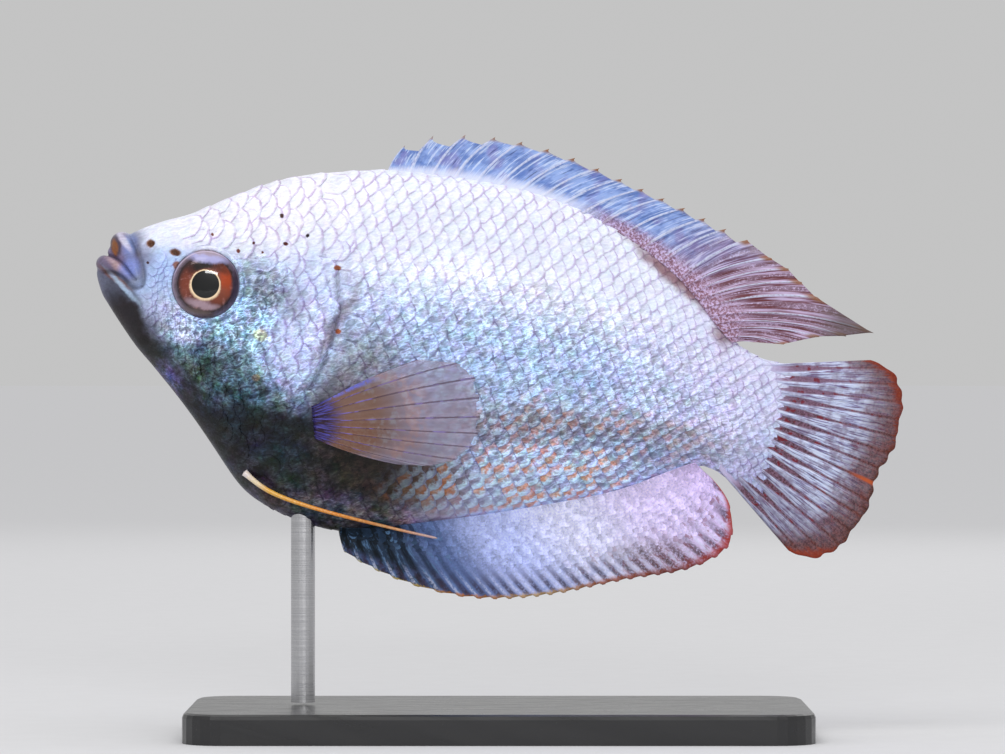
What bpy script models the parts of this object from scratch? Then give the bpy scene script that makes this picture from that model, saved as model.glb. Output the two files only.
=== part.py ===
"""A dwarf gourami as a still, life-size model on a plain display stand.

The fish is modelled level, with its nose at the origin, its tail towards +X and its left side
towards -Y. An empty then lifts it over the stand and tips it nose up. Lengths are in metres,
and outlines are written in millimetres as (distance behind the nose, height above the line
from the nose to the middle of the tail).
"""

import math

import bmesh
import bpy
import numpy as np
from mathutils import Matrix, Vector

MM = 0.001
GAP = 0.3 * MM  # between touching pieces


def in_metres(points):
    """The same points with every number taken from millimetres to metres."""
    return [tuple(value * MM for value in point) for point in points]


# The pose on the stand.
NOSE_UP = math.radians(14)
NOSE_PLACE = Vector((-40.3 * MM, 0.0, 47.0 * MM))

# The body's outline in side view, without fins and lips.
BACK_LINE = in_metres(
    [(0, 0.9), (1.2, 2.4), (3.4, 4.5), (7.0, 6.8), (10.4, 9.2), (13.9, 11.7), (17.6, 13.7), (21.5, 15.1),
     (25.7, 16.3), (33.2, 17.4), (40.0, 17.8), (45.5, 17.3), (50.5, 16.0), (55.0, 14.2), (58.5, 12.1),
     (61.2, 9.9), (63.9, 8.1), (66.8, 7.2), (69.6, 7.2)]
)
BELLY_LINE = in_metres(
    [(0, -1.4), (3.4, -4.7), (6.9, -7.75), (10.0, -10.1), (13.8, -13.2), (17.0, -16.1), (19.4, -18.1),
     (22.5, -19.4), (26.0, -20.0), (30.0, -20.0), (35.9, -18.3), (43.4, -15.4), (50.9, -12.2), (57.5, -8.8),
     (61.5, -6.0), (64.0, -4.9), (66.5, -5.6), (69.6, -7.0)]
)
HALF_WIDTH = in_metres(
    [(0, 1.0), (3, 2.25), (6, 3.2), (10, 4.05), (15, 4.9), (20, 5.5), (25, 5.75), (30, 5.65), (36, 5.15),
     (44, 4.1), (52, 3.0), (58, 2.2), (63, 1.6), (67, 1.15), (70, 0.9)]
)
WIDEST_LEVEL = in_metres(
    [(0, -0.5), (6, -0.8), (12, -1.6), (20, -2.5), (28, -1.0), (38, 1.5), (50, 3.5), (58, 3.4), (64, 1.8),
     (70, 0.4)]
)
NOSE_START = 0.25 * MM
NOSE_ROUNDING = 1.4 * MM  # over this length the nose rounds up to the outline
BACK_SECTION = (2.1, 0.52)  # power and fall of the cross-section, from its widest level up
BELLY_SECTION = (1.9, 0.60)  # and down to the keel

# Where the body is parted.
GILL_SLIT = 24.75 * MM  # the furthest back that the slit behind the gill cover reaches
GILL_SLIT_LEVEL = -1.1 * MM
GILL_SLIT_SWEEP = 7.4 * MM  # how far forward the slit has curved
GILL_SLIT_REACH = 15.0 * MM  # at this height above and below its level
STALK_START = 60.5 * MM
STALK_END = 67.2 * MM
STALK_END_LEAN = 0.14  # the stalk's end leans back towards its top

# Rings and sides of the body's nodes.
BODY_SIDES = 18
HEAD_RINGS = 17
TORSO_RINGS = 20
STALK_RINGS = 6

# The eyes.
EYE_PLACE = (11.4 * MM, 0.75 * MM)
EYE_RADIUS = 3.45 * MM
EYE_DEPTH = 2.3 * MM  # half the eyeball's thickness
EYE_PROUD = 0.95 * MM  # how far it stands out of the head
EYE_FACETS = (24, 14)
NOSTRIL_FACETS = (8, 6)

# The gill cover, a plate that lies in a pocket of the head.
GILL_COVER_OUTLINE = in_metres(
    [(19.2, 6.0), (22.6, 5.6), (26.0, 2.6), (26.6, -1.6), (25.6, -5.2), (22.9, -8.2), (19.2, -9.9),
     (15.4, -10.1), (12.0, -9.0), (12.0, -6.2), (14.4, -3.7), (16.0, -0.6), (16.9, 3.2)]
)
GILL_COVER_CENTRE = (20.0 * MM, -2.2 * MM)
GILL_COVER_THICKNESS = 0.9 * MM
GILL_COVER_PROUD = 0.3 * MM
POCKET_OUTSIDE = 3 * MM  # how far outside the flank the pocket's cutter reaches
GILL_COVER_SIDES = 32
GILL_COVER_RINGS = 4

# The mouth: rolls round the nose, each as (along, half span, up, radius) from its front to its buried end.
UPPER_JAW = in_metres(
    [(2.05, 0.0, 2.7, 1.2), (2.3, 0.8, 2.55, 1.15), (2.9, 1.5, 2.1, 1.0), (3.6, 1.95, 1.3, 0.85),
     (4.2, 2.3, 0.35, 0.7), (4.75, 2.5, -0.5, 0.5), (5.1, 2.2, -1.0, 0.3)]
)
UPPER_LIP = in_metres(
    [(1.55, 0.0, 1.7, 0.72), (1.75, 0.65, 1.65, 0.7), (2.35, 1.25, 1.35, 0.62), (3.1, 1.75, 0.85, 0.55),
     (3.9, 2.2, 0.1, 0.45), (4.5, 2.4, -0.5, 0.3)]
)
LOWER_LIP = in_metres(
    [(0.82, 0.0, 0.33, 0.86), (1.0, 0.75, 0.36, 0.84), (1.7, 1.4, 0.42, 0.74), (2.75, 1.87, 0.18, 0.64),
     (3.6, 2.2, -0.25, 0.58), (4.35, 2.45, -0.75, 0.5), (4.85, 2.3, -1.2, 0.3)]
)
MOUTH_LINE = in_metres(
    [(1.1, 0.0, 1.12, 0.17), (1.35, 0.8, 1.13, 0.17), (2.0, 1.55, 0.98, 0.17), (2.9, 2.15, 0.5, 0.17),
     (3.75, 2.55, -0.1, 0.16), (4.5, 2.9, -0.65, 0.14)]
)
LIP_SIDES = 12
LIP_STATIONS = 8  # from the middle to a corner
MOUTH_LINE_SIDES = 6
NOSTRILS = in_metres([(5.0, 3.4, 0.42), (7.6, 3.1, 0.5)])  # along, up, radius
NOSTRIL_PROUD = 0.1 * MM  # how far outside the skin the middle of the hollow lies

# Fins: a fin's edge is a list of (share of its base, along, up) that its ray tips follow.
MEMBRANE = 0.28 * MM  # half its thickness
EDGE_THINNING = 0.4  # how much thinner the membrane gets over its outer half
RIDGE_THINNING = 0.6  # and how much lower a ray's ridge gets towards its tip
FIN_ROWS = (0.0, 0.11, 0.3, 0.55, 0.8, 1.0)
RIDGE_FOOT = 0.30  # half a ray's width, as a share of the distance to the next ray
ROOT_SPAN = 0.42  # a fin's root is at most this share of the body's width

DORSAL_SPINES = 15
DORSAL_SOFT_RAYS = 9
DORSAL_START = 26.0 * MM
DORSAL_SPINES_END = 57.0 * MM
DORSAL_END = 63.6 * MM
SPINE_TIPS = in_metres(
    [(27.1, 19.1), (29.6, 20.7), (32.7, 21.6), (38.4, 22.3), (43.9, 22.0), (49.0, 21.1), (55.8, 19.8),
     (62.6, 18.2)]
)
SPINE_TIP_NUMBERS = (0, 1, 2, 4, 6, 8, 11, 14)
SOFT_TIPS = in_metres(
    [(65.4, 17.0), (67.3, 16.4), (68.9, 15.4), (70.8, 14.3), (77.1, 12.2), (74.5, 11.2), (71.9, 10.5),
     (68.6, 8.9), (65.6, 8.4)]
)
DORSAL_BOW = 0.05  # how far the soft rays bow, as a share of their length
DORSAL_BOW_RAYS = (8, 18)  # from this ray to this one the bow grows
DORSAL_SWAY = (0.5 * MM, 5.0)  # how far the edge sways aside, and its turn from front to rear in radians
SPINE_NOTCHES = (0.06, 0.03)  # how far short of the tip the membrane stops, before and behind a spine
FRONT_SPINE_NOTCHES = (0.34, 0.08)  # and so much more at the first spine
FRONT_SPINES = 5
SOFT_NOTCH = 0.02
DORSAL_RIDGE = 0.22 * MM
DORSAL_SHEATH = (0.55 * MM, 0.14)  # flesh at the root: half its thickness and its reach

ANAL_START = 29.8 * MM
ANAL_END = 63.0 * MM
ANAL_RAYS = 29
ANAL_BOW = -0.03
ANAL_SWAY = (-0.45 * MM, 6.0)
ANAL_NOTCHES = (0.05, 0.035)
ANAL_SPINE_NOTCHES = (0.10, 0.05)
ANAL_SPINES = 4
ANAL_RIDGE = 0.2 * MM
ANAL_SHEATH = (0.6 * MM, 0.2)
ANAL_EDGE_SHARES = (0, 0.035, 0.07, 0.12, 0.16, 0.2, 0.3, 0.4, 0.5, 0.6, 0.7, 0.8, 0.88, 0.94, 0.97, 1.0)
ANAL_EDGE = in_metres(
    [(31.0, -21.8), (32.7, -22.4), (34.6, -22.85), (37.4, -23.3), (40.0, -23.45), (42.6, -23.4),
     (47.4, -22.6), (51.1, -21.4), (54.6, -19.9), (58.0, -18.25), (61.6, -16.7), (65.2, -15.0),
     (67.9, -12.6), (68.1, -9.8), (66.9, -7.4), (64.6, -5.6)]
)

TAIL_FAN_CENTRE = (54.6 * MM, 2.8 * MM)
TAIL_TOP_ANGLE = math.radians(16.4)
TAIL_LOW_ANGLE = math.radians(-35.2)
TAIL_RADIUS = 27.4 * MM
TAIL_CORNER = 3.6 * MM  # how much shorter the outermost rays are
TAIL_CORNER_POWER = 8  # how soon the next rays reach the rim
TAIL_NOTCH = (0.7 * MM, 0.5, 0.07)  # its depth, its place and its width, as shares of the rim
TAIL_RAYS = 15
TAIL_SPLIT = 0.42  # the share of their length at which the rays split in two
TAIL_SWAY = (1.3 * MM, 2.6, 0.4)  # how far the rim sways aside, its turn and the turn's start in radians
TAIL_RIDGE = 0.24 * MM
TAIL_RIM_NOTCH = 0.015
TAIL_ROOT_REACH = 0.16  # the share of a ray over which the fin thins from the stalk's width
SPLIT_PARTING = (0.06, 0.16)  # a split ray's halves part by so much of a ray's step, and more by the rim

PECTORAL_BASE = in_metres([(24.9, -8.4), (26.0, -11.5)])  # its upper and lower end
PECTORAL_EDGE_SHARES = (0, 0.1, 0.3, 0.5, 0.7, 0.85, 1.0)
PECTORAL_EDGE = in_metres(
    [(33.6, -1.4), (37.2, -0.8), (40.2, -3.0), (41.1, -6.2), (40.6, -8.9), (38.2, -10.9), (34.0, -11.9)]
)
PECTORAL_RAYS = 10
PECTORAL_ROWS = (0.0, 0.04, 0.09, 0.18, 0.36, 0.58, 0.8, 1.0)
PECTORAL_BOW = 0.03
PECTORAL_NOTCH = 0.02
PECTORAL_RIDGE = 0.14 * MM
PECTORAL_SHEATH = (0.28 * MM, 0.12)
PECTORAL_SPREAD = math.radians(13)  # away from the flank
PECTORAL_STEP = 1.3 * MM  # the root stands straight out of the flank this far before it turns back
PECTORAL_TURN = 1.0 * MM  # and turns back within about this length

FEELER_PATH = in_metres(
    [(19.4, -16.4), (21.3, -17.3), (23.6, -17.9), (27.0, -18.2), (31.0, -18.3), (35.9, -18.3), (39.8, -18.2)]
)
FEELER_RADII = (0.42 * MM, 0.2 * MM)  # at its root and at its tip
FEELER_STATIONS = 16
FEELER_SIDES = 8
FEELER_CLEARANCE = 0.75 * MM  # from its middle to the flank
FEELER_ROOTED = 1 / 6  # the share of its length over which it leaves the flank
FEELER_SPACING = 0.85 * MM  # half the distance that the pair keeps under the keel

# The stand.
BASE_SIZE = (62.0 * MM, 30.0 * MM, 3.0 * MM)
BASE_BEVEL = 0.5 * MM
BASE_CORNER = 4.0 * MM
ROD_X = -19.6 * MM
ROD_RADIUS = 1.2 * MM
ROD_DEPTH_IN_BODY = 3.5 * MM
ROD_SIDES = 24

COLOURS = {  # colour, roughness, metallic
    "body": ((0.72, 0.74, 0.84), 0.42, 0.0),
    "head": ((0.56, 0.62, 0.72), 0.42, 0.0),
    "gill": ((0.40, 0.52, 0.60), 0.38, 0.0),
    "eye": ((0.42, 0.16, 0.08), 0.12, 0.0),
    "fin": ((0.52, 0.58, 0.80), 0.40, 0.0),
    "pectoral": ((0.55, 0.48, 0.50), 0.35, 0.0),
    "feeler": ((0.88, 0.52, 0.10), 0.40, 0.0),
    "base": ((0.05, 0.05, 0.055), 0.45, 0.0),
    "rod": ((0.62, 0.62, 0.63), 0.30, 1.0),
}


def smooth_curve(places, values):
    """A natural cubic spline through the given values at the given places, as a function."""
    x = np.array(places, float)
    y = np.array(values, float)
    gaps = np.diff(x)
    rises = np.diff(y) / gaps
    system = np.eye(len(x))
    target = np.zeros(len(x))
    for i in range(1, len(x) - 1):
        system[i, i - 1 : i + 2] = gaps[i - 1], 2 * (gaps[i - 1] + gaps[i]), gaps[i]
        target[i] = 6 * (rises[i] - rises[i - 1])
    bend = np.linalg.solve(system, target)

    def value(at):
        i = int(np.clip(np.searchsorted(x, at) - 1, 0, len(x) - 2))
        behind, ahead, gap = at - x[i], x[i + 1] - at, gaps[i]
        curved = (bend[i] * ahead**3 + bend[i + 1] * behind**3) / (6 * gap)
        level = y[i] * ahead + y[i + 1] * behind
        taken = (bend[i] * ahead + bend[i + 1] * behind) * gap / 6
        return float(curved + level / gap - taken)

    return value


def curve_through(points):
    """smooth_curve for a list of (place, value) points."""
    places, values = zip(*points)
    return smooth_curve(places, values)


def path_through(shares, points):
    """A smooth path through points at the given shares of its length, as a function of the share."""
    curves = [smooth_curve(shares, values) for values in zip(*points)]
    return lambda share: tuple(curve(share) for curve in curves)


plain_back = curve_through(BACK_LINE)
plain_belly = curve_through(BELLY_LINE)
plain_width = curve_through(HALF_WIDTH)
widest_level = curve_through(WIDEST_LEVEL)


def nose_share(along):
    """How much of its outline the body has reached: 0 at the nose's tip, 1 where the nose ends."""
    reached = min(max((along - NOSE_START) / NOSE_ROUNDING, 0.0), 1.0)
    return math.sqrt(1 - (1 - reached) ** 2)


def back(along):
    middle = widest_level(along)
    return middle + (plain_back(along) - middle) * nose_share(along)


def belly(along):
    middle = widest_level(along)
    return middle + (plain_belly(along) - middle) * nose_share(along)


def full_width(along):
    """Half the body's width at its widest level."""
    return plain_width(along) * nose_share(along)


def half_width(along, up):
    """Half the body's width at a place in side view, and 0 outside its outline."""
    middle = widest_level(along)
    edge, section = (back(along), BACK_SECTION) if up > middle else (belly(along), BELLY_SECTION)
    share = min(abs((up - middle) / (edge - middle)), 1.0)
    return full_width(along) * (1 - share ** section[0]) ** section[1]


def surface_height(along, aside, above):
    """The height of the body's upper or lower surface at a distance from its middle plane."""
    edge, section = (back(along), BACK_SECTION) if above else (belly(along), BELLY_SECTION)
    narrow = min(abs(aside) / full_width(along), 1.0)
    share = (1 - narrow ** (1 / section[1])) ** (1 / section[0])
    return widest_level(along) + (edge - widest_level(along)) * share


def gill_slit(up):
    """How far back the slit between head and torso lies at a height."""
    return GILL_SLIT - GILL_SLIT_SWEEP * ((up - GILL_SLIT_LEVEL) / GILL_SLIT_REACH) ** 2


def behind_gill_slit(up):
    """The torso's front, GAP away from the head square to the slanting slit."""
    slope = 2 * GILL_SLIT_SWEEP * (up - GILL_SLIT_LEVEL) / GILL_SLIT_REACH**2
    return gill_slit(up) + GAP * math.hypot(1, slope)


def stalk_end(up):
    return STALK_END + STALK_END_LEAN * up


def crossing(line, outline, inside, outside):
    """The height at which a line across the side view leaves the outline, by halving."""
    for _ in range(40):
        middle = (inside + outside) / 2
        beyond = abs(middle) > abs(outline(line(middle))) and (middle > 0) == (outside > 0)
        inside, outside = (inside, middle) if beyond else (middle, outside)
    return inside


def body_ring(line):
    """Points round the body along a line across the side view, from the keel over the right side."""
    middle = widest_level(line(0.0))
    top = crossing(line, back, max(middle, 0.0), 30 * MM)
    bottom = crossing(line, belly, min(middle, 0.0), -30 * MM)
    ring = []
    for j in range(2 * BODY_SIDES):
        angle = -math.pi / 2 + math.pi * j / BODY_SIDES
        rise = math.sin(angle)
        up = middle + rise * ((top - middle) if rise > 0 else (middle - bottom))
        along = line(up)
        aside = 0.0 if j % BODY_SIDES == 0 else math.copysign(half_width(along, up), math.cos(angle))
        ring.append((along, aside, up))
    return ring


def add_object(name, bm, colour, parent=None, smooth=True):
    """Makes an object from a bmesh, with its material, and hangs it on the fish's empty."""
    bmesh.ops.recalc_face_normals(bm, faces=bm.faces)
    mesh = bpy.data.meshes.new(name)
    bm.to_mesh(mesh)
    bm.free()
    obj = bpy.data.objects.new(name, mesh)
    bpy.context.scene.collection.objects.link(obj)
    obj.parent = parent
    if smooth:
        mesh.shade_smooth()
        mesh.set_sharp_from_angle(angle=math.radians(40))
    mesh.materials.append(finish(colour))
    return obj


def finish(name):
    """The plain material of one kind of surface."""
    material = bpy.data.materials.get(name)
    if material:
        return material
    colour, roughness, metallic = COLOURS[name]
    material = bpy.data.materials.new(name)
    material.use_nodes = True
    shader = material.node_tree.nodes["Principled BSDF"]
    shader.inputs["Base Color"].default_value = (*colour, 1.0)
    shader.inputs["Roughness"].default_value = roughness
    shader.inputs["Metallic"].default_value = metallic
    return material


def cap_across(bm, ring):
    """Closes a body ring with faces that run straight across from side to side."""
    count = len(ring)
    for j in range(count // 2):
        corners = [ring[j], ring[j + 1], ring[(count - j - 1) % count], ring[(count - j) % count]]
        bm.faces.new(list(dict.fromkeys(corners)))


def lofted(rings, nose=None):
    """A closed bmesh over rings of equal length, from a nose point or a flat cap to a flat cap."""
    bm = bmesh.new()
    loops = [[bm.verts.new(point) for point in ring] for ring in rings]
    for first, second in zip(loops, loops[1:]):
        for j in range(len(first)):
            k = (j + 1) % len(first)
            bm.faces.new((first[j], first[k], second[k], second[j]))
    if nose:
        tip = bm.verts.new(nose)
        for j in range(len(loops[0])):
            bm.faces.new((tip, loops[0][(j + 1) % len(loops[0])], loops[0][j]))
    else:
        cap_across(bm, loops[0])
    cap_across(bm, loops[-1])
    return bm


def lines_between(start, end, count, spacing=1.0):
    """Lines across the side view from start to end, drawn together at the start by a spacing over 1."""
    lines = []
    for k in range(count + 1):
        share = (k / count) ** spacing
        lines.append(lambda up, share=share: start(up) + (end(up) - start(up)) * share)
    return lines


def tube(stations, sides):
    """A closed tube through (x, y, z, radius) stations."""
    places = [Vector(station[:3]) for station in stations]
    bm = bmesh.new()
    loops = []
    for i, place in enumerate(places):
        ahead = (places[min(i + 1, len(places) - 1)] - places[max(i - 1, 0)]).normalized()
        across = ahead.cross(Vector((0, 0, 1))).normalized()
        upward = across.cross(ahead)
        turns = [2 * math.pi * j / sides for j in range(sides)]
        radius = stations[i][3]
        circle = [radius * (math.cos(turn) * across + math.sin(turn) * upward) for turn in turns]
        loops.append([bm.verts.new(place + offset) for offset in circle])
    for first, second in zip(loops, loops[1:]):
        for j in range(sides):
            k = (j + 1) % sides
            bm.faces.new((first[j], first[k], second[k], second[j]))
    bm.faces.new(loops[0])
    bm.faces.new(loops[-1])
    return bm


def ball(centre, radii, facets):
    """A stretched ball with so many segments and rings."""
    bm = bmesh.new()
    bmesh.ops.create_uvsphere(bm, u_segments=facets[0], v_segments=facets[1], radius=1.0)
    bmesh.ops.scale(bm, vec=radii, verts=bm.verts)
    bmesh.ops.translate(bm, vec=centre, verts=bm.verts)
    return bm


def combine(obj, pieces, operation):
    """Joins closed pieces to an object, or cuts them from it, by one Boolean, and removes them."""
    group = bpy.data.collections.new(obj.name + "_pieces")
    for piece in pieces:
        group.objects.link(piece)
    modifier = obj.modifiers.new("combine", "BOOLEAN")
    modifier.operation = operation
    modifier.operand_type = "COLLECTION"
    modifier.collection = group
    modifier.solver = "EXACT"
    bpy.context.view_layer.update()
    result = bpy.data.meshes.new_from_object(obj.evaluated_get(bpy.context.evaluated_depsgraph_get()))
    obj.modifiers.remove(modifier)
    obj.data = result
    for piece in pieces:
        bpy.data.objects.remove(piece)
    bpy.data.collections.remove(group)
    keep_largest(obj)


def keep_largest(obj):
    """Drops every closed surface of an object but the one with the most faces."""
    bm = bmesh.new()
    bm.from_mesh(obj.data)
    bmesh.ops.remove_doubles(bm, verts=bm.verts, dist=1e-6)
    islands, unseen = [], set(bm.faces)
    while unseen:
        front = [unseen.pop()]
        island = list(front)
        while front:
            for edge in front.pop().edges:
                for face in edge.link_faces:
                    if face in unseen:
                        unseen.remove(face)
                        front.append(face)
                        island.append(face)
        islands.append(island)
    islands.sort(key=len)
    bmesh.ops.delete(bm, geom=[face for island in islands[:-1] for face in island], context="FACES")
    bm.to_mesh(obj.data)
    bm.free()


def mirrored_path(points):
    """Stations of a roll from its left corner round the front to its right corner."""
    shares = np.linspace(0, 1, len(points))
    path = path_through(shares, points)
    quarter = [path(share) for share in np.linspace(0, 1, LIP_STATIONS)]
    left = [(along, -aside, up, radius) for along, aside, up, radius in reversed(quarter[1:])]
    return left + [(along, aside, up, radius) for along, aside, up, radius in quarter]


def gill_cover_outline(grown):
    """The gill cover's outline as points round its centre, grown outwards by a distance."""
    points = np.array(GILL_COVER_OUTLINE)
    ring = np.vstack([points[-2:], points, points[:2]])
    path = path_through(np.arange(len(ring)), ring)
    centre = np.array(GILL_COVER_CENTRE)
    outline = []
    for k in range(GILL_COVER_SIDES):
        place = np.array(path(2 + len(points) * k / GILL_COVER_SIDES))
        outward = place - centre
        outline.append(place + outward / np.linalg.norm(outward) * grown)
    return outline


def gill_cover_bmesh(side, grown, inner, outer, clamp):
    """A plate that follows the head's side, between two distances from the flank's surface."""
    bm = bmesh.new()
    outline = gill_cover_outline(grown)
    centre = np.array(GILL_COVER_CENTRE)
    layers = []
    for distance in (inner, outer):
        rings = []
        for ring in range(1, GILL_COVER_RINGS + 1):
            share = ring / GILL_COVER_RINGS
            loop = []
            for place in outline:
                along, up = centre + (place - centre) * share
                along = min(along, gill_slit(up)) if clamp else along
                loop.append(bm.verts.new((along, side * (half_width(along, up) + distance), up)))
            rings.append(loop)
        middle = bm.verts.new((centre[0], side * (half_width(*centre) + distance), centre[1]))
        for j in range(GILL_COVER_SIDES):
            k = (j + 1) % GILL_COVER_SIDES
            bm.faces.new((middle, rings[0][j], rings[0][k]))
            for first, second in zip(rings, rings[1:]):
                bm.faces.new((first[j], second[j], second[k]))
                bm.faces.new((first[j], second[k], first[k]))
        layers.append(rings[-1])
    for j in range(GILL_COVER_SIDES):
        k = (j + 1) % GILL_COVER_SIDES
        bm.faces.new((layers[0][j], layers[0][k], layers[1][k], layers[1][j]))
    return bm


def make_head(fish):
    """The head with its lips, and with its eye sockets, mouth line, nostrils and gill pockets cut."""
    lines = lines_between(lambda up: NOSE_START, gill_slit, HEAD_RINGS, 1.35)
    rings = [body_ring(line) for line in lines[1:]]
    head = add_object("head", lofted(rings, (NOSE_START, 0, widest_level(NOSE_START))), "head", fish)
    lips = [
        add_object("lip", tube(mirrored_path(points), LIP_SIDES), "head", fish)
        for points in (UPPER_JAW, UPPER_LIP, LOWER_LIP)
    ]
    combine(head, lips, "UNION")
    cutters = [add_object("mouth", tube(mirrored_path(MOUTH_LINE), MOUTH_LINE_SIDES), "head", fish)]
    for side in (-1, 1):
        socket_radii = [size + GAP for size in (EYE_RADIUS, EYE_DEPTH, EYE_RADIUS)]
        socket = ball(eye_centre(side), socket_radii, EYE_FACETS)
        cutters.append(add_object("socket", socket, "head", fish))
        for along, up, radius in NOSTRILS:
            centre = (along, side * (half_width(along, up) + NOSTRIL_PROUD), up)
            cutters.append(add_object("nostril", ball(centre, [radius] * 3, NOSTRIL_FACETS), "head", fish))
        pocket = gill_cover_bmesh(side, GAP, -GILL_COVER_THICKNESS - GAP, POCKET_OUTSIDE, False)
        cutters.append(add_object("pocket", pocket, "head", fish))
    combine(head, cutters, "DIFFERENCE")


def eye_centre(side):
    along, up = EYE_PLACE
    return Vector((along, side * (half_width(along, up) + EYE_PROUD - EYE_DEPTH), up))


def make_eyes(fish):
    for side, name in ((-1, "eye_left"), (1, "eye_right")):
        eye = ball(eye_centre(side), (EYE_RADIUS, EYE_DEPTH, EYE_RADIUS), EYE_FACETS)
        add_object(name, eye, "eye", fish)


def make_gill_covers(fish):
    for side, name in ((-1, "gill_cover_left"), (1, "gill_cover_right")):
        plate = gill_cover_bmesh(side, 0.0, -GILL_COVER_THICKNESS, GILL_COVER_PROUD, True)
        add_object(name, plate, "gill", fish)


def make_torso(fish):
    """The torso, from the gill slit to the tail's stalk, with a hole for the stand's rod."""
    lines = lines_between(behind_gill_slit, lambda up: STALK_START, TORSO_RINGS)
    torso = add_object("torso", lofted([body_ring(line) for line in lines]), "body", fish)
    bpy.context.view_layer.update()
    bm = rod_bmesh(ROD_RADIUS + GAP, rod_top() + GAP)
    bmesh.ops.transform(bm, matrix=fish.matrix_world.inverted(), verts=bm.verts)
    combine(torso, [add_object("rod_hole", bm, "body", fish)], "DIFFERENCE")


def make_stalk(fish):
    """The narrow stalk of the tail."""
    lines = lines_between(lambda up: STALK_START + GAP, stalk_end, STALK_RINGS)
    add_object("tail_stalk", lofted([body_ring(line) for line in lines]), "body", fish)


def fin_columns(rays, notches, split):
    """A fin's columns, each as (ray number, reach to the tip, share of the ridge, side of a split ray)."""
    columns = []
    for i in range(rays):
        front, rear = notches(i)
        if i > 0:
            columns.append((i - RIDGE_FOOT, 1 - front, 0.0, 0.0))
        if split:
            columns += [(i, 1.0, 1.0, -1.0), (i, 1 - TAIL_RIM_NOTCH, 0.0, 0.0), (i, 1.0, 1.0, 1.0)]
        else:
            columns.append((i, 1.0, 1.0, 0.0))
        if i < rays - 1:
            columns.append((i + RIDGE_FOOT, 1 - rear, 0.0, 0.0))
    return columns


def fin_bmesh(place, columns, half_thickness, split=0, rows=FIN_ROWS, middle=None):
    """A closed fin. place(ray, share, side, thickness) gives a point of one face, and both faces have like
    triangles. Where the root straddles the body, middle(ray) gives the root's points in the middle plane."""
    faces = []
    bm = bmesh.new()
    for side in (-1, 1):
        grid = []
        for ray, reach, ridge, branch in columns:
            line = []
            for row in rows:
                parted = branch * (SPLIT_PARTING[0] + SPLIT_PARTING[1] * max(row - split, 0.0))
                crest = ridge if split == 0 or branch else max(0.0, 1 - 3 * max(row - split, 0.0))
                thickness = half_thickness(ray, row, crest)
                line.append(bm.verts.new(place(ray + parted, row * reach, side, thickness)))
            grid.append(line)
        for first, second in zip(grid, grid[1:]):
            for r in range(len(rows) - 1):
                bm.faces.new((first[r], second[r], second[r + 1]))
                bm.faces.new((first[r], second[r + 1], first[r + 1]))
        faces.append(grid)
    left, right = faces
    rim = [(c, 0) for c in range(len(left))]
    rim += [(len(left) - 1, r) for r in range(1, len(rows))]
    rim += [(c, len(rows) - 1) for c in range(len(left) - 2, -1, -1)]
    rim += [(0, r) for r in range(len(rows) - 2, 0, -1)]
    spine = [bm.verts.new(middle(column[0])) for column in columns] if middle else None
    for (c, r), (d, q) in zip(rim, rim[1:] + rim[:1]):
        corners = [left[c][r], left[d][q], right[d][q], right[c][r]]
        if spine and r == q == 0:
            bm.faces.new((corners[0], corners[1], spine[d], spine[c]))
            bm.faces.new((spine[c], spine[d], corners[2], corners[3]))
            continue
        if spine and r == 0:
            corners.append(spine[c])
        if spine and q == 0:
            corners.insert(2, spine[d])
        bm.faces.new(corners)
    return bm


def bowed(root, tip, share, bow):
    """A point on a ray from root to tip that bows to one side by a share of its length."""
    along = root[0] + (tip[0] - root[0]) * share - (tip[1] - root[1]) * bow * 4 * share * (1 - share)
    up = root[1] + (tip[1] - root[1]) * share + (tip[0] - root[0]) * bow * 4 * share * (1 - share)
    return along, up


def ray_thickness(ridge_height, sheath):
    """Half a fin's thickness: a fleshy root, a membrane that thins to its edge, and the ray's ridge."""
    sheath_thickness, sheath_reach = sheath

    def half_thickness(ray, row, crest):
        root = sheath_thickness * math.exp(-row / sheath_reach)
        membrane = MEMBRANE * (1 - EDGE_THINNING * max(0.0, 2 * row - 1))
        return membrane + root + crest * ridge_height * (1 - RIDGE_THINNING * row)

    return half_thickness


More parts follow.
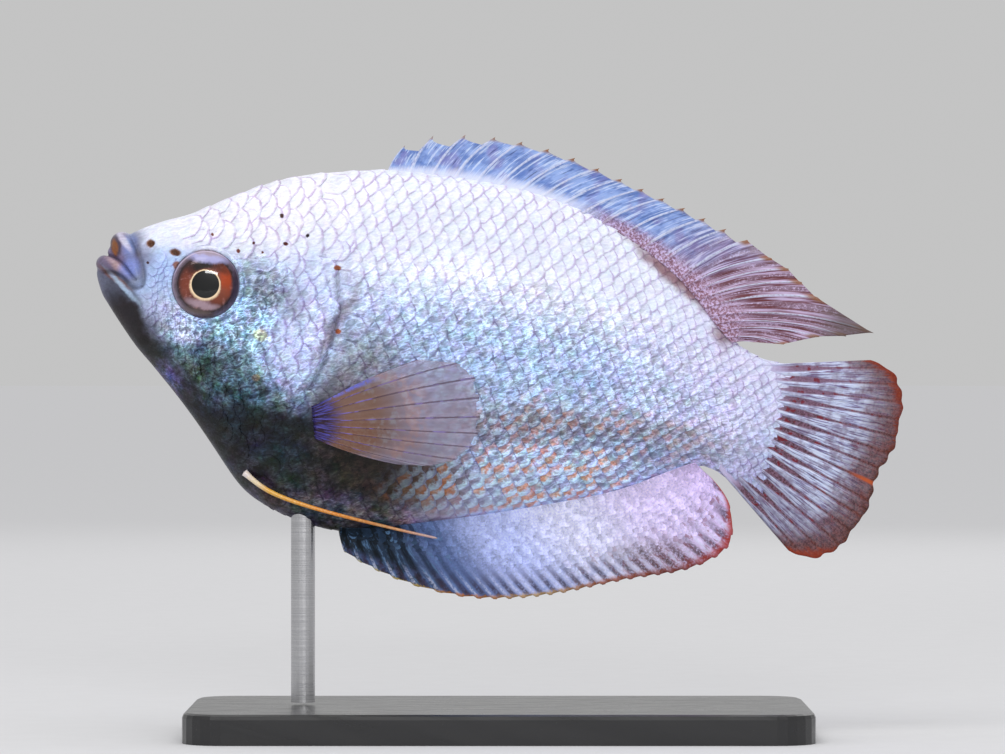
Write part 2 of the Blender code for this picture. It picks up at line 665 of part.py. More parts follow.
def make_dorsal_fin(fish):
    """The fin along the back: spines whose tips stand free, then soft rays drawn out to a point."""
    rays = DORSAL_SPINES + DORSAL_SOFT_RAYS
    spine_tip = path_through(SPINE_TIP_NUMBERS, SPINE_TIPS)
    tips = [spine_tip(i) for i in range(DORSAL_SPINES)] + SOFT_TIPS
    spines = np.linspace(DORSAL_START, DORSAL_SPINES_END, DORSAL_SPINES)
    soft_step = (DORSAL_END - DORSAL_SPINES_END) / DORSAL_SOFT_RAYS
    roots = list(spines) + [DORSAL_SPINES_END + soft_step * (i + 1) for i in range(DORSAL_SOFT_RAYS)]

    def place(ray, share, side, thickness):
        root_along = float(np.interp(ray, range(rays), roots))
        tip = [float(np.interp(ray, range(rays), values)) for values in zip(*tips)]
        bow = DORSAL_BOW * float(np.interp(ray, DORSAL_BOW_RAYS, (0, 1)))
        along, up = bowed((root_along, back(root_along)), tip, share, bow)
        sway = DORSAL_SWAY[0] * math.sin(ray / rays * DORSAL_SWAY[1]) * share
        if share == 0:
            thickness = min(thickness, ROOT_SPAN * full_width(along))
            up = surface_height(along, thickness, True) + GAP
        return along, side * thickness + sway, up

    def middle(ray):
        along = float(np.interp(ray, range(rays), roots))
        return along, 0.0, back(along) + GAP

    def notches(ray):
        if ray >= DORSAL_SPINES:
            return SOFT_NOTCH, SOFT_NOTCH
        first = max(0.0, 1 - ray / FRONT_SPINES)
        return [notch + more * first for notch, more in zip(SPINE_NOTCHES, FRONT_SPINE_NOTCHES)]

    thickness = ray_thickness(DORSAL_RIDGE, DORSAL_SHEATH)
    bm = fin_bmesh(place, fin_columns(rays, notches, 0), thickness, middle=middle)
    add_object("dorsal_fin", bm, "fin", fish)


def make_anal_fin(fish):
    """The deep fin along the belly."""
    edge = path_through(ANAL_EDGE_SHARES, ANAL_EDGE)

    def place(ray, share, side, thickness):
        part = ray / (ANAL_RAYS - 1)
        root_along = ANAL_START + (ANAL_END - ANAL_START) * part
        along, up = bowed((root_along, belly(root_along)), edge(part), share, ANAL_BOW)
        sway = ANAL_SWAY[0] * math.sin(part * ANAL_SWAY[1]) * share
        if share == 0:
            thickness = min(thickness, ROOT_SPAN * full_width(along))
            up = surface_height(along, thickness, False) - GAP
        return along, side * thickness + sway, up

    def middle(ray):
        along = ANAL_START + (ANAL_END - ANAL_START) * ray / (ANAL_RAYS - 1)
        return along, 0.0, belly(along) - GAP

    def notches(ray):
        return ANAL_SPINE_NOTCHES if ray < ANAL_SPINES else ANAL_NOTCHES

    thickness = ray_thickness(ANAL_RIDGE, ANAL_SHEATH)
    bm = fin_bmesh(place, fin_columns(ANAL_RAYS, notches, 0), thickness, middle=middle)
    add_object("anal_fin", bm, "fin", fish)


def make_tail_fin(fish):
    """The tail fin, a fan whose rays split in two."""
    notch_depth, notch_share, notch_width = TAIL_NOTCH
    sway_reach, sway_turn, sway_start = TAIL_SWAY

    def place(ray, share, side, thickness):
        part = ray / (TAIL_RAYS - 1)
        angle = TAIL_TOP_ANGLE + (TAIL_LOW_ANGLE - TAIL_TOP_ANGLE) * part
        ahead, above = math.cos(angle), math.sin(angle)
        centre_along, centre_up = TAIL_FAN_CENTRE
        start = (stalk_end(centre_up) + GAP - centre_along) / (ahead - STALK_END_LEAN * above)
        corner = TAIL_CORNER * abs(2 * part - 1) ** TAIL_CORNER_POWER
        notch = notch_depth * math.exp(-(((part - notch_share) / notch_width) ** 2))
        distance = start + (TAIL_RADIUS - corner - notch - start) * share
        sway = sway_reach * share**2 * math.sin(part * sway_turn + sway_start)
        return centre_along + ahead * distance, side * thickness + sway, centre_up + above * distance

    plain = ray_thickness(TAIL_RIDGE, (0.0, 1.0))

    def half_thickness(ray, row, crest):
        along, _, up = place(ray, 0.0, 1, 0.0)
        root = max(half_width(along - 2 * GAP, up) - plain(ray, row, 1.0), 0.0)
        return plain(ray, row, crest) + root * math.exp(-row / TAIL_ROOT_REACH)

    columns = fin_columns(TAIL_RAYS, lambda ray: (TAIL_RIM_NOTCH, TAIL_RIM_NOTCH), TAIL_SPLIT)
    add_object("tail_fin", fin_bmesh(place, columns, half_thickness, TAIL_SPLIT), "fin", fish)


def make_pectoral_fins(fish):
    """The fins behind the gill covers, which stand out of the flank and turn back along it."""
    edge = path_through(PECTORAL_EDGE_SHARES, PECTORAL_EDGE)
    (top_along, top_up), (low_along, low_up) = PECTORAL_BASE

    def fin_place(flank):
        def place(ray, share, side, thickness):
            part = ray / (PECTORAL_RAYS - 1)
            root = (top_along + (low_along - top_along) * part, top_up + (low_up - top_up) * part)
            along, up = bowed(root, edge(part), share, PECTORAL_BOW * (1 - 2 * part))
            distance = math.hypot(along - root[0], up - root[1])
            turned = 1 - math.exp(-distance / PECTORAL_TURN)
            middle = half_width(*root) + GAP + PECTORAL_STEP * turned + distance * math.tan(PECTORAL_SPREAD)
            slope = PECTORAL_STEP / PECTORAL_TURN * (1 - turned) + math.tan(PECTORAL_SPREAD)
            lean = side * thickness / math.hypot(1, slope)
            along -= lean * slope
            aside = middle + lean
            if share == 0:
                aside = half_width(along, up) + GAP
            return along, flank * aside, up

        return place

    columns = fin_columns(PECTORAL_RAYS, lambda ray: (PECTORAL_NOTCH, PECTORAL_NOTCH), 0)
    thickness = ray_thickness(PECTORAL_RIDGE, PECTORAL_SHEATH)
    for flank, name in ((-1, "pectoral_fin_left"), (1, "pectoral_fin_right")):
        bm = fin_bmesh(fin_place(flank), columns, thickness, rows=PECTORAL_ROWS)
        add_object(name, bm, "pectoral", fish)


def make_feelers(fish):
    """The pelvic fins, drawn out into a pair of feelers that trail along the belly."""
    path = path_through(np.linspace(0, 1, len(FEELER_PATH)), FEELER_PATH)
    for side, name in ((-1, "pelvic_feeler_left"), (1, "pelvic_feeler_right")):
        stations = []
        for k in range(FEELER_STATIONS + 1):
            share = k / FEELER_STATIONS
            along, up = path(share)
            thick = FEELER_RADII[0] + (FEELER_RADII[1] - FEELER_RADII[0]) * share
            flank = max(half_width(along, up), FEELER_SPACING)
            rooted = max(0.0, 1 - share / FEELER_ROOTED)
            aside = flank + FEELER_CLEARANCE * (1 - rooted) + (GAP + thick) * rooted
            stations.append((along, side * aside, up, thick))
        add_object(name, tube(stations, FEELER_SIDES), "feeler", fish)


def rod_top():
    """The height of the rod's end: where the rod meets the keel, and its depth in the body."""
    ahead, behind = 15 * MM, 40 * MM
    for _ in range(40):
        along = (ahead + behind) / 2
        keel = NOSE_PLACE + Matrix.Rotation(NOSE_UP, 3, "Y") @ Vector((along, 0, belly(along)))
        ahead, behind = (along, behind) if keel.x < ROD_X else (ahead, along)
    return keel.z + ROD_DEPTH_IN_BODY


def rod_bmesh(radius, top):
    bottom = BASE_SIZE[2] + GAP
    radii = {"radius1": radius, "radius2": radius}
    bm = bmesh.new()
    bmesh.ops.create_cone(bm, cap_ends=True, segments=ROD_SIDES, depth=top - bottom, **radii)
    bmesh.ops.translate(bm, vec=(ROD_X, 0, (top + bottom) / 2), verts=bm.verts)
    return bm


def make_stand():
    """A flat base that lies on the floor, and a rod up into the belly."""
    height = BASE_SIZE[2]
    rounding = {"affect": "EDGES", "profile": 0.5, "material": -1}
    bm = bmesh.new()
    bmesh.ops.create_cube(bm, size=1.0)
    bmesh.ops.scale(bm, vec=BASE_SIZE, verts=bm.verts)
    bmesh.ops.translate(bm, vec=(0, 0, height / 2), verts=bm.verts)
    upright = [edge for edge in bm.edges if abs(edge.verts[0].co.z - edge.verts[1].co.z) > height / 2]
    bmesh.ops.bevel(bm, geom=upright, offset=BASE_CORNER, segments=6, **rounding)
    rims = [edge for edge in bm.edges if all(vert.co.z > height - 1e-6 for vert in edge.verts)]
    bmesh.ops.bevel(bm, geom=rims, offset=BASE_BEVEL, segments=2, **rounding)
    add_object("stand_base", bm, "base")
    add_object("stand_rod", rod_bmesh(ROD_RADIUS, rod_top()), "rod")


def main():
    for obj in list(bpy.data.objects):
        bpy.data.objects.remove(obj)
    fish = bpy.data.objects.new("fish", None)
    bpy.context.scene.collection.objects.link(fish)
    fish.location = NOSE_PLACE
    fish.rotation_euler = (0, NOSE_UP, 0)
    bpy.context.view_layer.update()
    make_head(fish)
    make_eyes(fish)
    make_gill_covers(fish)
    make_torso(fish)
    make_stalk(fish)
    make_dorsal_fin(fish)
    make_anal_fin(fish)
    make_tail_fin(fish)
    make_pectoral_fins(fish)
    make_feelers(fish)
    make_stand()


main()
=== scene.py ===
"""The looks of a dwarf gourami, a still and life-size model on a plain display stand.

The file is laid out as an add-on and is run as a script. The fish is modelled level, in
millimetres: x is the distance behind its nose, y is below 0 on its left side and z is the height
above the line from its nose to the middle of its tail. TO_MODEL then lifts it over the stand, tips
it nose up and brings it to metres.
"""

import math

import bmesh
import bpy
import numpy as np
from mathutils import Matrix, Vector


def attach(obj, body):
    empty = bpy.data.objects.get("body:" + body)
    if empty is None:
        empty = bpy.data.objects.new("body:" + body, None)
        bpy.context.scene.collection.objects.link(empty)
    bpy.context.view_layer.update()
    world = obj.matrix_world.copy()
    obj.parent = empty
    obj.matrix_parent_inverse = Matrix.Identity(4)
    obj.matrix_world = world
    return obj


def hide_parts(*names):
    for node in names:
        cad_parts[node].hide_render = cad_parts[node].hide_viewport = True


bl_info = {
    "name": "Dwarf gourami model",
    "version": (1, 0, 0),
    "blender": (4, 5, 0),
    "location": "3D View > Sidebar > Gourami",
    "description": "Dresses the solids of a dwarf gourami model with skin, scales, fins and eyes",
    "category": "Object",
}

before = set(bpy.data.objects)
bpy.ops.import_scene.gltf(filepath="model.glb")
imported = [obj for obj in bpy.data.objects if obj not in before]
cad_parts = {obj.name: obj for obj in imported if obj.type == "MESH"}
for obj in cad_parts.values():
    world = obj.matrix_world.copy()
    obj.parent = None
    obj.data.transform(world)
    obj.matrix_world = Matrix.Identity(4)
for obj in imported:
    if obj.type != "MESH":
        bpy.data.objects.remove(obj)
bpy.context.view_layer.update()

MM = 0.001
NOSE_PLACE = (-40.3, 0.0, 47.0)
NOSE_UP = math.radians(14)
TO_MODEL = (
    Matrix.Scale(MM, 4) @ Matrix.Translation(NOSE_PLACE) @ Matrix.Rotation(NOSE_UP, 4, "Y")
)
SIDES = {"left": -1, "right": 1}

# The body's outline in side view, its half width and the height where it is widest, as in the solids.
BACK_LINE = [
    (0, 0.9), (1.2, 2.4), (3.4, 4.5), (7.0, 6.8), (10.4, 9.2), (13.9, 11.7), (17.6, 13.7), (21.5, 15.1),
    (25.7, 16.3), (33.2, 17.4), (40.0, 17.8), (45.5, 17.3), (50.5, 16.0), (55.0, 14.2), (58.5, 12.1),
    (61.2, 9.9), (63.9, 8.1), (66.8, 7.2), (69.6, 7.2),
]
BELLY_LINE = [
    (0, -1.4), (3.4, -4.7), (6.9, -7.75), (10.0, -10.1), (13.8, -13.2), (17.0, -16.1), (19.4, -18.1),
    (22.5, -19.4), (26.0, -20.0), (30.0, -20.0), (35.9, -18.3), (43.4, -15.4), (50.9, -12.2),
    (57.5, -8.8), (61.5, -6.0), (64.0, -4.9), (66.5, -5.6), (69.6, -7.0),
]
HALF_WIDTH = [
    (0, 1.0), (3, 2.25), (6, 3.2), (10, 4.05), (15, 4.9), (20, 5.5), (25, 5.75), (30, 5.65), (36, 5.15),
    (44, 4.1), (52, 3.0), (58, 2.2), (63, 1.6), (67, 1.15), (70, 0.9),
]
WIDEST_LEVEL = [
    (0, -0.5), (6, -0.8), (12, -1.6), (20, -2.5), (28, -1.0), (38, 1.5), (50, 3.5), (58, 3.4), (64, 1.8),
    (70, 0.4),
]
NOSE_START = 0.25
NOSE_ROUNDING = 1.4
BACK_SECTION = (2.1, 0.52)
BELLY_SECTION = (1.9, 0.60)
GILL_SLIT = (24.75, -1.1, 7.4, 15.0)  # furthest back, its level, its sweep forward and the reach of that
STALK_END = (67.2, 0.14)  # where the tail fin starts, and how it leans
SKIN_END = 70.2
TAPER_START = 66.5  # from here the skin thins down over the tail fin's root
TAPER = 0.62

# The skin's grid.
NOSE_COLUMNS = 30
HEAD_COLUMNS = ((1.65, 6.5, 52), (6.5, 26.0, 104), (26.0, SKIN_END, 74))  # from, to, columns
SKIN_ROWS = 136  # from the keel to the back

# The mouth: rolls as (along, half span, up, radius), and grooves in the same way.
UPPER_JAW = [
    (2.05, 0.0, 2.7, 1.2), (2.3, 0.8, 2.55, 1.15), (2.9, 1.5, 2.1, 1.0), (3.6, 1.95, 1.3, 0.85),
    (4.2, 2.3, 0.35, 0.7), (4.7, 2.5, -0.45, 0.5), (4.9, 2.4, -0.9, 0.3),
]
UPPER_LIP = [
    (1.55, 0.0, 1.7, 0.72), (1.75, 0.65, 1.65, 0.7), (2.35, 1.25, 1.35, 0.62), (3.1, 1.75, 0.85, 0.55),
    (3.9, 2.2, 0.1, 0.42), (4.3, 2.4, -0.3, 0.3),
]
LOWER_LIP = [
    (0.82, 0.0, 0.33, 0.86), (1.0, 0.75, 0.36, 0.84), (1.7, 1.4, 0.42, 0.74), (2.75, 1.87, 0.18, 0.62),
    (3.6, 2.25, -0.25, 0.5), (4.3, 2.5, -0.7, 0.36), (4.7, 2.45, -1.05, 0.22),
]
MOUTH_LINE = [
    (0.85, 0.0, 1.16, 0.13), (1.15, 0.9, 1.15, 0.13), (1.95, 1.65, 1.02, 0.13), (2.9, 2.2, 0.55, 0.12),
    (3.75, 2.6, 0.0, 0.1), (4.4, 2.85, -0.4, 0.06),
]
UNDER_LIP = [
    (0.75, 0.0, -0.62, 0.16), (0.95, 0.85, -0.5, 0.16), (1.6, 1.6, -0.3, 0.15), (2.7, 2.2, -0.35, 0.14),
    (3.5, 2.6, -0.95, 0.14), (4.3, 2.85, -1.35, 0.13), (5.0, 3.0, -1.1, 0.1),
]
JAW_CREASE = [
    (2.35, 0.0, 4.25, 0.12), (2.55, 0.8, 4.05, 0.12), (3.1, 1.75, 3.3, 0.13), (3.95, 2.5, 2.2, 0.14),
    (4.75, 2.95, 0.9, 0.15), (5.15, 3.1, -0.2, 0.14), (5.15, 3.1, -0.9, 0.1),
]
MOUTH_END = 7.5
ROLL_STEPS = 22
LIP_BLEND = 0.16
# a crease's darkness is the painted shade that it puts into the skin's colour
CREASES = (  # each with its depth, how far it spreads and its darkness
    (MOUTH_LINE, 0.34, 0.14, 1.0),
    (UNDER_LIP, 0.2, 0.17, 0.75),
    (JAW_CREASE, 0.2, 0.17, 0.8),
)
TRACE_START = 2.6  # the face is traced inwards from this height, each step this share of the way
TRACE_PACE = 0.8
TRACE_FLOOR = 0.5
TRACE_STEPS = 30
NOSTRILS = ((5.0, 3.4, 0.36, 0.36, 0.0), (7.6, 3.1, 0.52, 0.34, 20.0))  # along, up, half sizes, lean

# The eyes and the gill covers.
EYE_PLACE = (11.4, 0.75)
EYE_RADIUS = 3.45
EYE_PROUD = 0.95
EYE_DEPTH = 2.3
EYE_FULLNESS = 2.5  # how boxy the eyeball's section is
GILL_COVER = [
    (19.2, 6.0), (22.6, 5.6), (26.0, 2.6), (26.6, -1.6), (25.6, -5.2), (22.9, -8.2), (19.2, -9.9),
    (15.4, -10.1), (12.0, -9.0), (12.0, -6.2), (14.4, -3.7), (16.0, -0.6), (16.9, 3.2),
]
GILL_COVER_PROUD = 0.3

# Fins, with the tips and edges that the solids have.
DORSAL_SPINES = 15
DORSAL_SOFT_RAYS = 9
DORSAL_ROOTS = (26.0, 57.0, 63.6)  # the first spine, the last spine and the last ray
SPINE_TIPS = [
    (27.1, 19.1), (29.6, 20.7), (32.7, 21.6), (38.4, 22.3), (43.9, 22.0), (49.0, 21.1), (55.8, 19.8),
    (62.6, 18.2),
]
SPINE_TIP_NUMBERS = (0, 1, 2, 4, 6, 8, 11, 14)
SOFT_TIPS = [
    (65.4, 17.0), (67.3, 16.4), (68.9, 15.4), (70.8, 14.3), (77.1, 12.2), (74.5, 11.2), (71.9, 10.5),
    (68.6, 8.9), (65.6, 8.4),
]
ANAL_ROOTS = (29.8, 63.0)
ANAL_RAYS = 29
ANAL_EDGE_SHARES = (0, 0.035, 0.07, 0.12, 0.16, 0.2, 0.3, 0.4, 0.5, 0.6, 0.7, 0.8, 0.88, 0.94, 0.97, 1.0)
ANAL_EDGE = [
    (31.0, -21.8), (32.7, -22.4), (34.6, -22.85), (37.4, -23.3), (40.0, -23.45), (42.6, -23.4),
    (47.4, -22.6), (51.1, -21.4), (54.6, -19.9), (58.0, -18.25), (61.6, -16.7), (65.2, -15.0),
    (67.9, -12.6), (68.1, -9.8), (66.9, -7.4), (64.6, -5.6),
]
TAIL_FAN_CENTRE = (54.6, 2.8)
TAIL_ANGLES = (math.radians(16.4), math.radians(-35.2))
TAIL_RADIUS = 27.4
TAIL_RAYS = 15
TAIL_SPLIT = 0.34
PECTORAL_BASE = ((24.9, -8.4), (26.0, -11.5))
PECTORAL_EDGE_SHARES = (0, 0.1, 0.3, 0.5, 0.7, 0.85, 1.0)
PECTORAL_EDGE = [
    (33.6, -1.4), (37.2, -0.8), (40.2, -3.0), (41.1, -6.2), (40.6, -8.9), (38.2, -10.9), (34.0, -11.9),
]
PECTORAL_RAYS = 10
PECTORAL_SPREAD = math.radians(13)
PECTORAL_STEP = 1.3
PECTORAL_TURN = 1.0
FEELER_PATH = [
    (19.4, -16.4), (21.3, -17.3), (23.6, -17.9), (27.0, -18.2), (31.0, -18.3), (35.9, -18.3), (39.8, -18.2),
]
FEELER_RADII = (0.28, 0.12)
RAY_MAP_LENGTH = 32  # the ray number at the right edge of a fin's ray map

# The relief of the head: each depth or height with the places that it eases between.
HEAD_END = 30
COVER_REAR = (15.0, 20.0)  # the gill cover's edge is a clear step from here back
COVER_STEP = (-0.12, 0.16)
COVER_SLOPE = (-0.8, 2.2)  # in front it swells up over this
SLIT = (0.22, 0.22)  # depth and width
SOCKET = (2.6, -3.5, -3.1)
POUCH = (0.1, 4.3, 0.5)  # the fold round the eye: height, radius, width
NOSTRIL_RIM = (0.09, 1.35, 0.4)  # height, and radius and width as shares of the nostril
NOSTRIL_PIT = (0.4, -1.05, -0.4)
BARE_FACE = (-8.0, -5.5)  # no scales lie on the mouth, so the skin there is not sunk
PROBE = (0.02, 0.004)  # steps along and round the body for its normals

# A scale: how deep its root lies, how far its free edge curves back, how much narrower, thinner and
# fuller it gets, its sharp angle, and how far its lie is read ahead and strays.
SCALE_SINK = 0.05
SCALE_ARC = 0.36
SCALE_NARROWING = 0.1
SCALE_THINNING = 0.45
SCALE_DOME = 0.04
SCALE_CREASE = 50
LIE_AHEAD = 0.5
LIE_SCATTER = 0.015
ROW_MARGIN = 0.1  # no scale's root lies closer than this to the keel or the back
EYE_CLEAR = 4.2
BAKE_PATCH = 0.003
BAKE_UNDERSIDE = 0.7  # a scale's underside takes this share of its patch, inside the top's
MERGE = 0.0001

# Fins, eye rims and feelers. A fin's grid has so many columns from ray to ray, and rows to its edge.
DORSAL_COLUMNS = 14
ANAL_COLUMNS = 10
TAIL_COLUMNS = 18
PECTORAL_COLUMNS = 14
FIN_ROWS = 34
TAIL_ROWS = 36
PLEAT = 0.1  # how far a fin's membrane swings between its rays
RIM_SEGMENTS = (96, 12)  # round the eye and round the rim's section
RIM_RADIUS = 3.62
RIM_HALF_WIDTH = 0.26
RIM_HEIGHT = 0.2
RIM_SEAT = (3.75, 0.02)  # the radius that the rim's height is read at, and how deep it sits
EYE_SPREAD = 0.12  # how far the eyeball reaches in under its rim
FEELER_SEGMENTS = (80, 16)  # along and round
FEELER_SWELLING = (0.5, 0.04)  # at the root: how much thicker, and over which share
FEELER_GAP = 0.75  # between the flank and the free part
FEELER_ROOT = 1 / 6  # this share of the feeler comes out of the skin

# The markings' leans, the camera and the lights.
BLOTCH_LEAN = math.radians(-24)
SPECKLE_LEAN = math.radians(-27)
FLOOR_RADIUS = 20.0
SENSOR_WIDTH = 36.0
FRAME_WIDTH = 100.5 * MM
TARGET = Vector((0.35, 0.0, 35.8)) * MM
WORLD_LIGHT = 0.55
LIGHTS = (  # name, kind, place, power, then width and height, or a sun's angle
    ("front light", "AREA", (0.02, -0.46, 0.19), 0.6, 0.16, 0.045),
    ("key light", "AREA", (-0.18, -0.3, 0.5), 0.6, 0.26, 0.26),
    ("back light", "AREA", (0.1, 0.5, 0.35), 0.3, 0.4, 0.4),
    ("top light", "SUN", (0.06, -0.1, 1.0), 0.85, 1.0, None),
)


def smooth_curve(places, values):
    """A natural cubic spline through values at places, as a function that takes arrays."""
    x = np.array(places, float)
    y = np.array(values, float)
    gaps = np.diff(x)
    rises = np.diff(y) / gaps
    system = np.eye(len(x))
    target = np.zeros(len(x))
    for i in range(1, len(x) - 1):
        system[i, i - 1 : i + 2] = gaps[i - 1], 2 * (gaps[i - 1] + gaps[i]), gaps[i]
        target[i] = 6 * (rises[i] - rises[i - 1])
    bend = np.linalg.solve(system, target)

    def value(at):
        at = np.asarray(at, float)
        i = np.clip(np.searchsorted(x, at) - 1, 0, len(x) - 2)
        behind, ahead, gap = at - x[i], x[i + 1] - at, gaps[i]
        curved = (bend[i] * ahead**3 + bend[i + 1] * behind**3) / (6 * gap)
        level = y[i] * ahead + y[i + 1] * behind
        return curved + level / gap - (bend[i] * ahead + bend[i + 1] * behind) * gap / 6

    return value


def curve_through(points):
    """A smooth curve through points of (place, value)."""
    places, values = zip(*points)
    return smooth_curve(places, values)


def path_through(shares, points):
    """A smooth path through points at the given shares of its length, as a function of the share."""
    curves = [smooth_curve(shares, values) for values in zip(*points)]
    return lambda share: np.stack([curve(share) for curve in curves], -1)


def smooth_step(value, low, high):
    share = np.clip((value - low) / (high - low), 0, 1)
    return share * share * (3 - 2 * share)


plain_back = curve_through(BACK_LINE)
plain_belly = curve_through(BELLY_LINE)
plain_width = curve_through(HALF_WIDTH)
widest_level = curve_through(WIDEST_LEVEL)


def nose_share(along):
    """How much of its outline the body has reached: 0 at the nose's tip, 1 where the nose ends."""
    reached = np.clip((along - NOSE_START) / NOSE_ROUNDING, 0, 1)
    return np.sqrt(1 - (1 - reached) ** 2)


def back(along):
    """The height of the back at a distance behind the nose."""
    middle = widest_level(along)
    return middle + (plain_back(along) - middle) * nose_share(along)


def belly(along):
    """The height of the keel at a distance behind the nose."""
    middle = widest_level(along)
    return middle + (plain_belly(along) - middle) * nose_share(along)


def half_width(along, up):
    """Half the body's width at a place in side view, and 0 outside its outline."""
    middle = widest_level(along)
    above = up > middle
    reach = np.where(above, back(along), belly(along)) - middle
    power = np.where(above, BACK_SECTION[0], BELLY_SECTION[0])
    fall = np.where(above, BACK_SECTION[1], BELLY_SECTION[1])
    share = np.clip(np.abs(up - middle) / np.maximum(np.abs(reach), 1e-6), 0, 1)
    taper = 1 - TAPER * smooth_step(along, TAPER_START, SKIN_END)
    return plain_width(along) * nose_share(along) * taper * (1 - share**power) ** fall


def gill_slit(up):
    """How far back the slit behind the gill cover lies at a height."""
    furthest, level, sweep, reach = GILL_SLIT
    return furthest - sweep * ((up - level) / reach) ** 2


def body_point(along, turn):
    """A point on the plain body. Turn runs from -1 at the keel over 0 on the left and 1 at the back to
    2 on the right and 3 at the keel again."""
    side = np.where(turn > 1, 1.0, -1.0)
    girth = np.where(turn > 1, 2 - turn, turn)
    rise = np.sin(girth * math.pi / 2)
    middle = widest_level(along)
    up = middle + rise * np.where(rise > 0, back(along) - middle, middle - belly(along))
    return stacked(along, side * half_width(along, up), up)


def stacked(*parts):
    """Joins parts of one shape or that stretch to one, such as x, y and z, into places."""
    return np.stack(np.broadcast_arrays(*parts), -1)


def unit(vectors):
    return vectors / np.maximum(np.linalg.norm(vectors, axis=-1, keepdims=True), 1e-9)


class Surface:
    """A surface read from a grid of points, with a place along it and a place across it."""

    def __init__(self, alongs, acrosses, points, closed=False, flipped=False):
        self.alongs, self.acrosses, self.points = alongs, acrosses, points
        self.closed, self.flipped = closed, flipped

    def at(self, along, across):
        if self.closed:
            across = (across - self.acrosses[0]) % np.ptp(self.acrosses) + self.acrosses[0]
        cells = []
        for value, axis in ((along, self.alongs), (across, self.acrosses)):
            index = np.interp(value, axis, np.arange(len(axis)))
            low = np.clip(np.floor(index).astype(int), 0, len(axis) - 2)
            cells.append((low, (index - low)[..., None]))
        (i, u), (j, v) = cells
        near = self.points[i, j] * (1 - v) + self.points[i, j + 1] * v
        far = self.points[i + 1, j] * (1 - v) + self.points[i + 1, j + 1] * v
        return near * (1 - u) + far * u

    def slopes(self, along, across, step=(0.25, 0.02)):
        """How the point moves with each place, and the outward unit normal."""
        first = (self.at(along + step[0], across) - self.at(along - step[0], across)) / (2 * step[0])
        second = (self.at(along, across + step[1]) - self.at(along, across - step[1])) / (2 * step[1])
        normal = unit(np.cross(first, second))
        return first, second, -normal if self.flipped else normal


def set_map(bm, name, grid, i, j):
    """Gives every loop its vertex's place on a UV map."""
    layer = bm.loops.layers.uv.new(name)
    for vert, place in zip(bm.verts, grid[i, j]):
        for loop in vert.link_loops:
            loop[layer].uv = place


def warped_grid(points, maps, values=None):
    """A closed bmesh: one flat grid whose vertices move to points[column, row], and whose rims and
    poles, which lie on each other, are merged."""
    columns, rows = points.shape[0] - 1, points.shape[1] - 1
    bm = bmesh.new()
    bmesh.ops.create_grid(bm, x_segments=columns, y_segments=rows, size=1.0)
    flat = np.array([vert.co[:] for vert in bm.verts])
    i = np.rint((flat[:, 0] + 1) / 2 * columns).astype(int)
    j = np.rint((flat[:, 1] + 1) / 2 * rows).astype(int)
    for name, grid in maps.items():
        set_map(bm, name, grid, i, j)
    for name, grid in (values or {}).items():
        layer = bm.verts.layers.float.new(name)
        for vert, value in zip(bm.verts, grid[i, j]):
            vert[layer] = value
    for vert, place in zip(bm.verts, points[i, j]):
        vert.co = place
    bmesh.ops.remove_doubles(bm, verts=bm.verts, dist=MERGE)
    bmesh.ops.recalc_face_normals(bm, faces=bm.faces)
    return bm


def add_piece(name, bm, material, nodes=(), sharp=None):
    """Makes a finished piece from a bmesh in fish millimetres."""
    bmesh.ops.transform(bm, matrix=TO_MODEL, verts=bm.verts)
    mesh = bpy.data.meshes.new(name)
    bm.to_mesh(mesh)
    bm.free()
    return add_mesh_piece(name, mesh, material, nodes, sharp)


def add_mesh_piece(name, mesh, material, nodes=(), sharp=None):
    mesh.shade_smooth()
    if sharp:
        mesh.set_sharp_from_angle(angle=math.radians(sharp))
    mesh.materials.append(material)
    obj = bpy.data.objects.new(name, mesh)
    bpy.context.scene.collection.objects.link(obj)
    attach(obj, "root")
    if nodes:
        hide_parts(*nodes)
    return obj


# Shader nodes.


def tone(red, green, blue):
    """A linear colour from screen values of 0 to 255."""
    shares = [value / 255 for value in (red, green, blue)]
    return tuple(s / 12.92 if s <= 0.04045 else ((s + 0.055) / 1.055) ** 2.4 for s in shares) + (1.0,)


